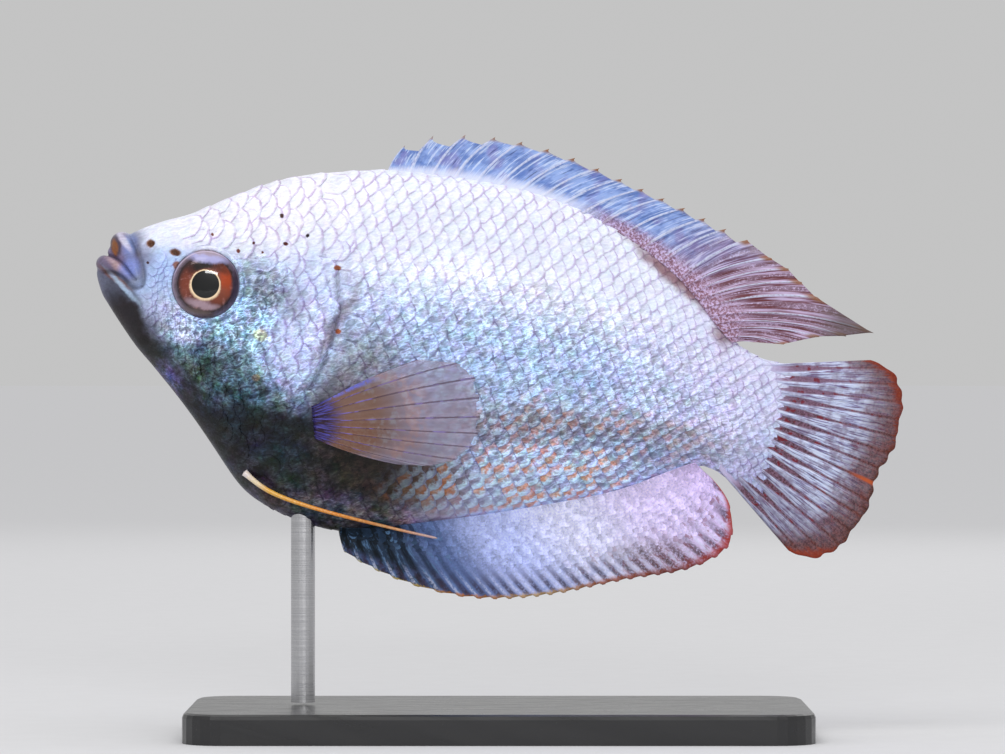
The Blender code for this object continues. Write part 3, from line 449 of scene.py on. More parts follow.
class Nodes:
    """Short calls that add nodes to one shader tree and join them."""

    def __init__(self, tree):
        self.tree = tree

    def join(self, socket, value):
        if isinstance(value, bpy.types.NodeSocket):
            self.tree.links.new(value, socket)
        elif value is not None:
            socket.default_value = value

    def add(self, kind, inputs=(), out=0, **settings):
        node = self.tree.nodes.new(kind)
        for key, value in settings.items():
            setattr(node, key, value)
        pairs = inputs.items() if isinstance(inputs, dict) else enumerate(inputs)
        for key, value in pairs:
            self.join(node.inputs[key], value)
        return node.outputs[out]

    def calc(self, operation, *values):
        return self.add("ShaderNodeMath", values, operation=operation)

    def vector(self, operation, *values):
        return self.add("ShaderNodeVectorMath", values, operation=operation)

    def grey(self, value):
        return self.add("ShaderNodeCombineXYZ", [value, value, value])

    def times(self, *values):
        """The product of values. One given as (value, from, to) is eased from the one to the other."""
        eased = [self.ease(*value) if isinstance(value, tuple) else value for value in values]
        result = eased[0]
        for value in eased[1:]:
            result = self.calc("MULTIPLY", result, value)
        return result

    def apart(self, first, second):
        """How far two values are apart."""
        return self.calc("ABSOLUTE", self.calc("SUBTRACT", first, second))

    def stray(self, value, noise, reach):
        """A value that wanders with a noise, by up to half of reach each way."""
        return self.calc("MULTIPLY_ADD", self.calc("SUBTRACT", noise, 0.5), reach, value)

    def ease(self, value, low, high, start=0.0, end=1.0):
        inputs = {"Value": value, "From Min": low, "From Max": high, "To Min": start, "To Max": end}
        return self.add("ShaderNodeMapRange", inputs, interpolation_type="SMOOTHSTEP")

    def blend(self, share, under, over, how="MIX"):
        inputs = {"Factor": share, 6: under, 7: over}
        return self.add("ShaderNodeMix", inputs, out=2, data_type="RGBA", blend_type=how)

    def cover(self, colour, paint, *masks):
        """A colour with a paint over it, as far as the product of the masks."""
        return self.blend(self.times(*masks), colour, paint)

    def tinted(self, colour, tint, share=1.0):
        return self.blend(share, colour, tint, "MULTIPLY")

    def noise(self, place, size, detail=2.0, rough=0.55, warp=0.0, out=0):
        values = (place, 1 / size, detail, rough, warp)
        inputs = dict(zip(("Vector", "Scale", "Detail", "Roughness", "Distortion"), values))
        return self.add("ShaderNodeTexNoise", inputs, out=out)

    def ramp(self, value, *stops):
        """A smooth ramp through stops of (position, red, green, blue)."""
        node = self.tree.nodes.new("ShaderNodeValToRGB")
        node.color_ramp.interpolation = "EASE"
        elements = node.color_ramp.elements
        elements.remove(elements[1])
        elements[0].position = stops[0][0]
        elements[0].color = tone(*stops[0][1:])
        for position, *colour in stops[1:]:
            elements.new(position).color = tone(*colour)
        self.join(node.inputs[0], value)
        return node.outputs[0]

    def stretch(self, place, factors, turn=0.0):
        """A place whose patterns are drawn out by factors, along axes that lean by turn."""
        inputs = {"Vector": place, "Rotation": (0.0, turn, 0.0), "Scale": factors}
        return self.add("ShaderNodeMapping", inputs, vector_type="TEXTURE")

    def drift(self, place, size, reach, rough=0.55):
        """A vector that wanders by up to half of reach along each axis."""
        wander = self.vector("SUBTRACT", self.noise(place, size, 3.0, rough, out=1), (0.5, 0.5, 0.5))
        return self.add("ShaderNodeVectorMath", {0: wander, "Scale": reach}, operation="SCALE")

    def wavering(self, place, size, reach):
        """A place in side view that wanders by up to about half of reach, for ragged edges."""
        strayed = self.vector("ADD", place, self.drift(place, size, reach))
        return self.vector("MULTIPLY", strayed, (1.0, 0.0, 1.0))

    def ellipse(self, place, centre, reach, lean=0.0, soft=0.45):
        """A soft-edged ellipse in side view that leans down to the rear by some degrees."""
        inputs = {
            "Vector": place,
            "Location": (centre[0], 0.0, centre[1]),
            "Rotation": (0.0, math.radians(lean), 0.0),
            "Scale": (reach[0], 100.0, reach[1]),
        }
        local = self.add("ShaderNodeMapping", inputs, vector_type="TEXTURE")
        distance = self.add("ShaderNodeVectorMath", [local], out=1, operation="LENGTH")
        return self.ease(distance, 1 + soft, 1 - soft)

    def patches(self, colour, place, patches, *masks):
        """A colour with soft ellipses painted over each other in their order."""
        for paint, centre, reach, lean, soft, strength in patches:
            mask = self.ellipse(place, centre, reach, lean, soft)
            colour = self.cover(colour, tone(*paint), mask, *masks, strength)
        return colour

    def split(self, place):
        node = self.tree.nodes.new("ShaderNodeSeparateXYZ")
        self.join(node.inputs[0], place)
        return node.outputs

    def fish_place(self):
        """Object coordinates in fish millimetres."""
        place = self.add("ShaderNodeTexCoord", out=3)
        inputs = {
            "Vector": place,
            "Location": [value * MM for value in NOSE_PLACE],
            "Rotation": (0.0, NOSE_UP, 0.0),
            "Scale": (MM, MM, MM),
        }
        return self.add("ShaderNodeMapping", inputs, vector_type="TEXTURE")


def new_group(name, inputs, outputs):
    """An empty node group with named sockets, its Nodes, its inputs and a call that sets its outputs."""
    group = bpy.data.node_groups.new(name, "ShaderNodeTree")
    kinds = {"value": "NodeSocketFloat", "vector": "NodeSocketVector", "colour": "NodeSocketColor"}
    for direction, sockets in (("INPUT", inputs), ("OUTPUT", outputs)):
        for socket, kind in sockets:
            group.interface.new_socket(socket, in_out=direction, socket_type=kinds[kind])
    nodes = Nodes(group)
    entry = group.nodes.new("NodeGroupInput")
    leave = group.nodes.new("NodeGroupOutput")

    def put_out(**values):
        for key, value in values.items():
            nodes.join(leave.inputs[key.replace("_", " ")], value)

    return nodes, entry.outputs, put_out


def use_group(nodes, name, inputs):
    """The outputs of a shared group, which is made when first used."""
    if name not in bpy.data.node_groups:
        GROUPS[name]()
    node = nodes.tree.nodes.new("ShaderNodeGroup")
    node.node_tree = bpy.data.node_groups[name]
    for key, value in inputs.items():
        nodes.join(node.inputs[key], value)
    return node.outputs


def new_material(name, look):
    """A material from look(nodes, place), which gives the values of its shader's sockets."""
    material = bpy.data.materials.new(name)
    material.use_nodes = True
    nodes = Nodes(material.node_tree)
    sockets = material.node_tree.nodes["Principled BSDF"].inputs
    for key, value in look(nodes, nodes.fish_place()).items():
        nodes.join(sockets[key.replace("_", " ")], value)
    return material


def bump(nodes, height, distance, strength=1.0):
    return nodes.add("ShaderNodeBump", {"Height": height, "Distance": distance * MM, "Strength": strength})


# Soft patches in side view, painted over each other in this order: colour in screen values, centre,
# half sizes, lean down to the rear in degrees, softness, strength.
PATCHES = [
    # pale back: partly the fish's own colour, partly painted light from above
    ((230, 234, 250), (34.0, 13.0), (34.0, 9.0), 4, 0.6, 0.75),  # pale back
    ((238, 238, 251), (15.0, 10.0), (10.0, 4.6), -25, 0.5, 0.9),  # pale nape
    ((206, 204, 236), (63.0, 2.0), (9.0, 7.0), 0, 0.6, 0.75),  # pale stalk
    ((164, 190, 228), (42.0, 0.5), (17.0, 5.0), 0, 0.6, 0.65),  # bluish flank
    ((124, 124, 132), (28.5, -4.4), (3.6, 4.6), 10, 0.6, 0.8),  # greyer behind the gill cover
    ((88, 78, 92), (50.5, -4.8), (13.0, 2.2), -8, 0.6, 0.85),  # dusky red band
    ((142, 172, 222), (49.0, -9.4), (13.0, 3.6), -18, 0.5, 0.7),  # lower flank
    # the dark belly and its brown part: partly the fish's own colour, partly painted shade under the body
    ((32, 27, 24), (25.0, -14.6), (13.5, 7.0), 14, 0.5, 0.97),  # dark belly
    ((44, 34, 26), (33.4, -12.4), (8.0, 4.2), 0, 0.4, 0.93),  # its brown part
    # painted teal sheen on the breast
    ((22, 44, 54), (21.5, -13.0), (6.0, 3.2), 30, 0.7, 0.5),  # teal on the breast
    ((92, 90, 98), (31.5, -17.8), (8.5, 1.6), 0, 0.6, 0.75),  # grey keel
    ((156, 188, 218), (16.4, -3.0), (7.6, 6.0), 25, 0.45, 0.9),  # cheek
    ((48, 66, 72), (15.6, -7.8), (6.0, 2.8), 18, 0.6, 0.88),  # its teal lower part
    ((196, 204, 242), (22.2, -0.6), (3.2, 5.6), 8, 0.5, 0.9),  # pale gill cover
    ((116, 118, 134), (17.6, 1.5), (3.4, 1.6), 20, 0.7, 0.7),  # grey behind the eye
    ((172, 198, 244), (6.8, 0.4), (3.6, 2.8), 0, 0.6, 0.85),  # blue snout
    ((184, 192, 224), (8.8, -3.0), (3.0, 2.2), 30, 0.6, 0.8),  # pale front of the cheek
    ((86, 70, 88), (2.4, 1.3), (2.9, 2.8), 0, 0.5, 0.9),  # dusky lilac lips
    ((24, 11, 10), (4.9, -4.8), (5.6, 2.0), 44, 0.6, 0.98),  # brown chin
    ((21, 21, 23), (12.5, -11.0), (8.0, 1.8), 40, 0.5, 0.94),  # dark throat
    ((16, 26, 34), (18.5, -11.2), (7.0, 1.3), -6, 0.5, 0.85),  # shade under the gill cover
    ((92, 62, 54), (25.0, 0.4), (0.7, 4.0), 14, 0.6, 0.6),  # brown shoulder line
    ((70, 40, 34), (26.2, -7.0), (1.6, 2.6), 0, 0.6, 0.45),  # warm shade over the pectoral fin
    ((128, 84, 92), (57.0, 12.7), (6.6, 0.9), 29, 0.6, 0.9),  # red-brown along the dorsal fin
    ((124, 78, 80), (62.6, 8.6), (1.6, 1.1), 50, 0.6, 0.7),  # and at its rear end
    ((128, 124, 190), (10.2, -9.2), (1.5, 0.9), 45, 0.6, 0.7),  # lilac on the chin
    ((196, 182, 208), (39.0, -16.4), (4.2, 1.3), -20, 0.6, 0.5),  # pale vent
]

# Small sharp marks: colour, centre, half sizes.
SPOTS = [
    ((60, 22, 18), (17.0, 9.2), (0.2, 0.23)),
    ((36, 18, 26), (20.0, 7.9), (0.17, 0.2)),
    ((86, 26, 20), (18.1, 6.6), (0.22, 0.18)),
    ((110, 52, 44), (13.7, 4.75), (0.22, 0.22)),
    ((110, 60, 50), (10.75, 5.75), (0.16, 0.16)),
    ((150, 84, 50), (23.7, 5.5), (0.36, 0.26)),
    ((150, 84, 50), (25.3, -0.6), (0.3, 0.26)),
    ((60, 38, 40), (5.2, 1.45), (0.12, 0.14)),
    ((90, 40, 36), (15.0, 5.9), (0.14, 0.14)),
    ((90, 40, 36), (16.1, 5.2), (0.12, 0.12)),
    ((190, 204, 176), (17.9, -2.8), (0.7, 0.6)),
    ((120, 104, 96), (18.5, -7.0), (0.4, 0.34)),
    ((128, 88, 70), (4.95, 3.4), (0.42, 0.4)),
    ((124, 84, 66), (7.6, 3.12), (0.6, 0.34)),
    ((140, 96, 90), (8.1, 1.9), (0.4, 0.4)),
]
LIP_PATCHES = [
    ((146, 130, 172), (2.0, 1.9), (1.5, 1.6), 0, 0.5, 0.6),  # lilac upper lip
    ((108, 134, 192), (3.0, 2.7), (0.7, 1.3), -10, 0.6, 0.7),  # blue behind it
    ((44, 26, 30), (1.55, 2.3), (0.62, 1.15), -24, 0.3, 0.75),  # dark ring round its spot
    ((140, 84, 44), (1.5, 2.15), (0.36, 0.85), -24, 0.35, 0.95),  # brown spot
    ((222, 216, 236), (2.15, 3.1), (0.3, 1.3), -50, 0.5, 0.6),  # its pale top edge
    ((176, 146, 146), (2.2, 0.45), (1.3, 0.42), 22, 0.5, 0.8),  # pinkish lower lip
    ((112, 100, 128), (0.9, 0.1), (1.0, 0.7), 0, 0.5, 0.7),  # its dusky front
    ((130, 146, 216), (3.55, 0.5), (0.9, 1.1), 40, 0.5, 0.8),  # blue corner of the mouth
    ((120, 78, 66), (2.2, -0.75), (1.9, 0.3), 22, 0.5, 0.8),  # brown under the lower lip
    ((176, 200, 230), (3.4, -1.5), (2.3, 0.24), 32, 0.6, 0.75),  # pale line along the jaw
]
IRIS_PATCHES = [  # from the eye's middle
    ((176, 66, 18), (1.9, 0.9), (0.75, 1.35), -20, 0.6, 0.85),  # orange rear
    ((132, 60, 34), (1.7, -0.7), (0.8, 1.0), 20, 0.6, 0.7),  # brown below it
    ((140, 66, 44), (-1.9, -0.6), (0.6, 1.3), -12, 0.6, 0.6),  # brown front
    ((184, 158, 172), (0.2, -2.05), (1.7, 0.42), 0, 0.6, 0.75),  # pale bottom
    ((16, 10, 12), (-0.75, 1.75), (1.15, 0.6), -30, 0.5, 0.95),  # dark top
    ((74, 34, 22), (1.2, 2.0), (0.9, 0.42), 32, 0.5, 0.7),  # brown behind that
]
EYE_RING_PATCHES = [
    # painted lilac sheen over the top of the outer ring
    ((172, 170, 220), (-0.5, 2.6), (1.9, 0.5), -6, 0.4, 0.9),  # lilac top
    ((150, 128, 140), (-0.6, 3.1), (1.6, 0.3), -4, 0.5, 0.7),  # its outer edge
    ((104, 88, 84), (0.0, -3.0), (2.4, 0.42), 0, 0.5, 0.7),  # grey-brown bottom
    ((62, 48, 66), (2.95, 0.6), (0.42, 2.0), -8, 0.5, 0.7),  # dusky rear
]


def make_markings_group():
    """The fish's markings, shared by its skin and its scales."""
    inputs = [("Place", "vector"), ("Girth", "value")]
    outputs = [("Colour", "colour"), ("Glint", "value"), ("Warmth", "value")]
    nodes, entry, put_out = new_group("fish markings", inputs, outputs)
    ragged = nodes.wavering(entry["Place"], 2.4, 2.6)
    rough = nodes.wavering(entry["Place"], 0.5, 0.3)
    # from the keel to the back the colour grows lighter: partly the fish's own colour, partly painted light
    # from above
    height = nodes.calc("MULTIPLY_ADD", entry["Girth"], 0.5, 0.5)
    colour = nodes.ramp(
        height, (0.0, 150, 150, 190), (0.2, 160, 168, 206), (0.42, 170, 184, 220),
        (0.6, 192, 204, 238), (0.8, 216, 222, 247), (1.0, 232, 234, 250),
    )
    colour = nodes.patches(colour, ragged, PATCHES)
    for paint, centre, reach in SPOTS:
        colour = nodes.cover(colour, tone(*paint), nodes.ellipse(rough, centre, reach, 0, 0.3))
    # the belly, throat and chin are blotched brown, teal and slate
    under = nodes.ellipse(ragged, (21.5, -13.5), (18.5, 5.6), 20, 0.5)
    blotches = nodes.noise(nodes.stretch(entry["Place"], (1.7, 1.0, 1.0), BLOTCH_LEAN), 1.5, 4.0, 0.75)
    tints = nodes.noise(entry["Place"], 2.6, 3.0, 0.6, out=1)
    mottle = nodes.vector("MULTIPLY_ADD", tints, (1.5, 1.2, 1.6), (-0.75, -0.6, -0.8))
    mottle = nodes.vector("ADD", mottle, nodes.grey(nodes.ease(blotches, 0.36, 0.68, 0.25, 1.5)))
    colour = nodes.cover(colour, nodes.tinted(colour, mottle), under)

    warm = nodes.ellipse(ragged, (48.0, -9.8), (11.5, 3.8), -18, 0.5)
    band = nodes.times(nodes.ellipse(ragged, (50.0, -4.6), (13.0, 3.4), -8, 0.6), 0.5)
    # the Glint mask: where the speckle and its painted glints are strong, and where the scales get painted
    # light and shade
    cheek = nodes.ellipse(ragged, (17.0, -4.0), (9.0, 8.0), 20, 0.5)
    flank = nodes.times(nodes.ellipse(ragged, (44.0, -2.0), (27.0, 11.0), 0, 0.6), 0.7)
    cover = nodes.ellipse(ragged, (22.2, -0.6), (3.2, 5.8), 8, 0.5)
    cheek = nodes.times(cheek, nodes.calc("MULTIPLY_ADD", cover, -0.6, 1.0))
    glint = nodes.calc("MAXIMUM", nodes.calc("MAXIMUM", cheek, flank), nodes.times(under, 0.75))
    put_out(Colour=colour, Glint=nodes.calc("MAXIMUM", glint, 0.2), Warmth=nodes.calc("MAXIMUM", warm, band))


def make_speckle_group():
    """Fine, many-coloured speckle and crinkled lines over a colour; the pale lines are painted glints."""
    inputs = [("Colour", "colour"), ("Place", "vector"), ("Glint", "value")]
    outputs = [("Colour", "colour"), ("Grain", "value")]
    nodes, entry, put_out = new_group("iridescent speckle", inputs, outputs)
    glint = entry["Glint"]
    slanted = nodes.stretch(entry["Place"], (2.4, 1.0, 1.0), SPECKLE_LEAN)
    grain = nodes.noise(nodes.stretch(entry["Place"], (1.6, 1.0, 1.0), SPECKLE_LEAN), 0.3, 3.0, 0.65)
    blotch = nodes.noise(entry["Place"], 1.6, 3.0, 0.6)
    swell = nodes.stray(nodes.stray(0.0, grain, 1.8), blotch, 1.3)
    light = nodes.calc("MULTIPLY_ADD", swell, glint, 1.0)
    hues = nodes.drift(entry["Place"], 0.9, nodes.times(glint, 0.9), 0.6)
    colour = nodes.tinted(entry["Colour"], nodes.vector("ADD", hues, nodes.grey(light)))
    # crinkled lines: dark ones, and pale ones beside them that are painted glints
    crease = nodes.apart(nodes.noise(slanted, 0.5, 2.5, 0.6, 0.25), 0.5)
    pale = nodes.times((crease, 0.045, 0.0), nodes.calc("POWER", glint, 1.5), 0.72)
    dark = nodes.times((crease, 0.06, 0.11), (crease, 0.24, 0.13), glint, 0.55)
    colour = nodes.cover(colour, nodes.tinted(colour, tone(104, 108, 124)), dark)
    colour = nodes.cover(colour, nodes.tinted(colour, (2.3, 2.5, 2.5, 1.0)), pale)
    put_out(Colour=colour, Grain=nodes.calc("MULTIPLY_ADD", pale, 0.5, grain))


def make_ray_group():
    """A fin's rays from its ray map: their mask, a ray's number, the share along it, the place beside it."""
    inputs = [("Map", "vector"), ("Half width", "value"), ("Split from", "value"), ("Parting", "value")]
    outputs = [("Ray", "value"), ("Number", "value"), ("Share", "value"), ("Phase", "value")]
    nodes, entry, put_out = new_group("fin rays", inputs, outputs)
    u, share, _ = nodes.split(entry["Map"])
    number = nodes.calc("MULTIPLY", u, RAY_MAP_LENGTH)
    phase = nodes.calc("SUBTRACT", number, nodes.calc("ROUND", number))
    opened = nodes.calc("MAXIMUM", nodes.calc("SUBTRACT", share, entry["Split from"]), 0.0)
    parted = nodes.times(nodes.calc("MINIMUM", nodes.times(opened, 4.0), 1.0), entry["Parting"])
    off = nodes.apart(nodes.calc("ABSOLUTE", phase), parted)
    half = entry["Half width"]
    ray = nodes.ease(off, half, nodes.times(half, 0.45))
    put_out(Ray=ray, Number=number, Share=share, Phase=phase)


def uv_map(nodes, name):
    return nodes.add("ShaderNodeUVMap", uv_map=name)


def attribute(nodes, name, out=2):
    return nodes.add("ShaderNodeAttribute", attribute_name=name, out=out)


def skin_look(nodes, place):
    """Moist skin: the markings and their speckle, with the lips of the face and painted shade in its folds.
    """
    _, turn, _ = nodes.split(uv_map(nodes, "OFBake"))
    girth = nodes.calc("SUBTRACT", 1.0, nodes.calc("ABSOLUTE", nodes.calc("MULTIPLY_ADD", turn, 4.0, -2.0)))
    marks = use_group(nodes, "fish markings", {"Place": place, "Girth": girth})
    colour = nodes.patches(marks["Colour"], nodes.wavering(place, 0.7, 0.35), LIP_PATCHES)
    # painted shade in the crevices: the mouth's creases, the gill slit and the nostrils
    folds = nodes.tinted(colour, tone(66, 40, 54), 0.95)
    colour = nodes.cover(colour, folds, attribute(nodes, "crevice"), 0.7)
    inputs = {"Colour": colour, "Place": place, "Glint": marks["Glint"]}
    speckled = use_group(nodes, "iridescent speckle", inputs)
    grain = nodes.noise(place, 0.22, 3.0, 0.65)
    return dict(
        Base_Color=speckled["Colour"],
        Roughness=nodes.ease(grain, 0.2, 0.8, 0.3, 0.5),
        Normal=bump(nodes, grain, 0.04, 0.8),
        Specular_IOR_Level=0.22,
        Coat_Weight=0.1,
        Coat_Roughness=0.12,
    )


def scale_look(nodes, place):
    """Scales: the markings in each scale's own tone with painted light and shade, a thin rim, growth rings
    and speckle.
    """
    marks = use_group(nodes, "fish markings", {"Place": place, "Girth": attribute(nodes, "girth")})
    across, reach, _ = nodes.split(uv_map(nodes, "scale"))
    tint = attribute(nodes, "tint")
    outline = nodes.calc("MAXIMUM", reach, nodes.calc("ABSOLUTE", across))
    glint = marks["Glint"]
    # each scale has its own tone, and where the scales glint each gets painted light on its rear edge and
    # painted shade towards its root
    painted_edge_light = nodes.ease(outline, 0.4, 0.8, -0.22, 0.26)
    uneven = nodes.calc("MULTIPLY_ADD", tint, 0.3, -0.15)
    shade = nodes.calc("MULTIPLY_ADD", nodes.calc("ADD", painted_edge_light, uneven), glint, 1.0)
    colour = nodes.tinted(marks["Colour"], nodes.grey(shade))
    # on the lower flank a scale is peach at its front, with a painted pale blue glint at its rear edge
    slant = nodes.calc("SUBTRACT", reach, nodes.times(across, 0.3))
    wander = nodes.calc("SUBTRACT", nodes.noise(place, 0.5, 2.0), 0.5)
    ragged = nodes.calc("MULTIPLY_ADD", wander, 0.7, slant)
    picked = nodes.ease(tint, 0.3, 0.6, 0.2, 1.0)
    front = nodes.times((ragged, 0.92, 0.56), marks["Warmth"], picked)
    behind = nodes.times((ragged, 0.6, 0.82), marks["Warmth"], 0.75)
    copper = nodes.cover(tone(214, 136, 88), tone(224, 186, 170), (wander, -0.15, 0.15))
    colour = nodes.cover(colour, copper, front, 0.8)
    colour = nodes.cover(colour, tone(206, 230, 255), behind)
    speckled = use_group(nodes, "iridescent speckle", {"Colour": colour, "Place": place, "Glint": glint})
    # the rim is a thin mauve line, greyer where the scales glint
    rim = nodes.ease(outline, 0.86, 0.96)
    worn = nodes.ease(nodes.noise(place, 1.2, 2.0), 0.35, 0.65, 0.25, 0.8)
    rim_tint = nodes.cover(tone(206, 176, 212), tone(146, 136, 154), glint)
    colour = nodes.cover(speckled["Colour"], nodes.tinted(speckled["Colour"], rim_tint), rim, worn)
    rings = nodes.add("ShaderNodeMath", [nodes.times(outline, 46.0)], operation="SINE")
    grain = nodes.calc("MULTIPLY_ADD", rings, 0.06, speckled["Grain"])
    return dict(
        Base_Color=colour,
        Roughness=nodes.ease(speckled["Grain"], 0.25, 0.75, 0.26, 0.46),
        Normal=bump(nodes, grain, 0.04, 0.6),
        Metallic=nodes.times(glint, 0.1),
        Specular_IOR_Level=0.22,
        Coat_Weight=0.08,
        Coat_Roughness=0.12,
    )


def eye_look(nodes, place):
    """A glossy eyeball: black pupil, thin gold ring, red-brown iris and a lilac-grey outer ring with a
    painted lilac sheen over its top.
    """
    x, _, z = nodes.split(place)
    dx = nodes.calc("SUBTRACT", x, EYE_PLACE[0])
    dz = nodes.calc("SUBTRACT", z, EYE_PLACE[1])
    radius = nodes.calc("POWER", nodes.calc("ADD", nodes.times(dx, dx), nodes.times(dz, dz)), 0.5)
    flat = nodes.add("ShaderNodeCombineXYZ", [dx, 0.0, dz])
    around = nodes.add("ShaderNodeVectorMath", [flat], operation="NORMALIZE")
    spoke = nodes.add("ShaderNodeVectorMath", {0: around, "Scale": 2.4}, operation="SCALE")
    spoke = nodes.vector("ADD", spoke, nodes.grey(nodes.times(radius, 0.45)))
    streaks = nodes.noise(spoke, 0.45, 3.0, 0.65)
    wander = nodes.stray(radius, streaks, 0.45)
    iris = nodes.ramp(
        nodes.times(wander, 1 / 3.6), (0.0, 120, 60, 34), (0.42, 124, 70, 50), (0.5, 88, 36, 26),
        (0.62, 74, 32, 28), (0.71, 56, 26, 26), (0.77, 44, 26, 30), (0.82, 84, 70, 84),
        (0.89, 128, 112, 130), (0.94, 84, 70, 86), (0.97, 30, 24, 32),
    )
    ring = nodes.times((radius, 1.45, 1.65), (radius, 2.8, 2.5))
    flecks = nodes.times((streaks, 0.52, 0.7), ring)
    colour = nodes.cover(iris, tone(196, 140, 136), flecks, 0.5)
    soft_place = nodes.wavering(flat, 0.7, 0.6)
    colour = nodes.patches(colour, soft_place, IRIS_PATCHES, ring)
    colour = nodes.patches(colour, soft_place, EYE_RING_PATCHES)
    inner = nodes.stray(radius, streaks, 0.2)
    gold = nodes.times((radius, 1.34, 1.38), (inner, nodes.ease(dz, 1.0, -1.0, 1.52, 1.74), 1.44))
    colour = nodes.cover(colour, tone(250, 222, 184), gold, 0.95)
    pale = nodes.times((radius, 3.2, 3.25), (radius, 3.36, 3.3))
    colour = nodes.cover(colour, tone(206, 190, 214), pale, (dz, -1.0, 1.5, 0.2, 0.7))
    colour = nodes.cover(colour, tone(2, 2, 3), (radius, 1.4, 1.34))
    return dict(
        Base_Color=colour,
        Roughness=nodes.ease(streaks, 0.2, 0.8, 0.3, 0.45),
        Specular_IOR_Level=0.15,
        Coat_Weight=1.0,
        Coat_Roughness=0.015,
        Coat_IOR=1.38,
    )


def fin_look(nodes, place, colour, opacity, relief):
    """A moist fin that lets a little light through."""
    grain = nodes.noise(place, 0.2, 3.0, 0.7)
    return dict(
        Base_Color=colour,
        Roughness=nodes.ease(grain, 0.2, 0.8, 0.34, 0.52),
        Alpha=opacity,
        Normal=bump(nodes, nodes.calc("MULTIPLY_ADD", grain, 0.5, relief), 0.05, 0.7),
        Specular_IOR_Level=0.15,
        Coat_Weight=0.04,
        Coat_Roughness=0.2,
        Subsurface_Weight=0.12,
        Subsurface_Scale=0.4 * MM,
        Subsurface_Radius=(1.0, 0.6, 0.5),
    )


def fin_rays(nodes, half, split, parting):
    ray_map = attribute(nodes, "rays", out=1)
    inputs = {"Map": ray_map, "Half width": half, "Split from": split, "Parting": parting}
    return use_group(nodes, "fin rays", inputs)


def streaked(nodes, rays, length, width):
    """Noise drawn out along the rays."""
    across = nodes.times(rays["Number"], 1 / width)
    drawn = nodes.add("ShaderNodeCombineXYZ", [across, nodes.times(rays["Share"], 1 / length), 0.0])
    return nodes.noise(drawn, 1.0, 3.0, 0.65)


def dorsal_look(nodes, place):
    """Blue with pale streaks in front, red-brown with pale rays behind."""
    rays = fin_rays(nodes, 0.075, 2.0, 0.0)
    share, number = rays["Share"], rays["Number"]
    streak = streaked(nodes, rays, 0.55, 0.13)
    broad = streaked(nodes, rays, 0.35, 0.7)
    fine = nodes.noise(place, 0.25, 3.0, 0.7)
    soft = nodes.ease(number, 11.0, 16.5)
    base = nodes.cover(tone(100, 130, 198), tone(150, 176, 232), (broad, 0.38, 0.62))
    violet = nodes.times((nodes.noise(place, 2.2, 2.0), 0.5, 0.68), 0.45)
    base = nodes.cover(base, tone(136, 112, 178), violet)
    base = nodes.cover(base, tone(58, 72, 122), (streak, 0.44, 0.3), 0.8)
    base = nodes.cover(base, tone(206, 220, 248), (streak, 0.52, 0.62), 0.85)
    rear = nodes.cover(tone(112, 56, 64), tone(208, 188, 224), (streak, 0.4, 0.6))
    colour = nodes.cover(base, rear, soft)
    gaps = nodes.ease(nodes.calc("ABSOLUTE", rays["Phase"]), 0.2, 0.42)
    dark = nodes.times(gaps, soft, (fine, 0.35, 0.55))
    colour = nodes.cover(colour, tone(92, 46, 54), dark, 0.7)
    lines = nodes.times(rays["Ray"], (fine, 0.3, 0.6, 0.35, 0.95))
    colour = nodes.cover(colour, tone(216, 222, 246), lines)
    # near the front, the body's pale colour climbs the foot; behind, it is red-brown
    climb = nodes.stray(share, streak, 0.3)
    ahead = nodes.times((climb, 0.26, 0.06), (number, 11.0, 7.0))
    colour = nodes.cover(colour, tone(222, 226, 246), ahead, 0.85)
    foot = nodes.times((climb, 0.34, 0.1), (number, 8.0, 11.0))
    mottled = nodes.cover(tone(134, 90, 104), tone(212, 190, 230), (fine, 0.42, 0.62))
    colour = nodes.cover(colour, mottled, foot, 0.9)
    edge = nodes.calc("MULTIPLY_ADD", fine, 0.12, share)
    tips = nodes.times((edge, 0.9, 1.02), nodes.calc("SUBTRACT", 1.0, soft))
    colour = nodes.cover(colour, tone(168, 150, 138), tips, 0.8)
    near_ray = nodes.ease(nodes.calc("ABSOLUTE", rays["Phase"]), 0.26, 0.1)
    point = nodes.times((share, 0.86, 0.95), near_ray)
    colour = nodes.cover(colour, tone(150, 96, 48), point, (number, 1.0, 6.0, 0.35, 0.85))
    x, _, _ = nodes.split(place)
    colour = nodes.cover(colour, tone(92, 80, 78), (x, 69.5, 74.5), 0.8)
    return fin_look(nodes, place, colour, nodes.ease(share, 0.1, 0.5, 1.0, 0.92), streak)


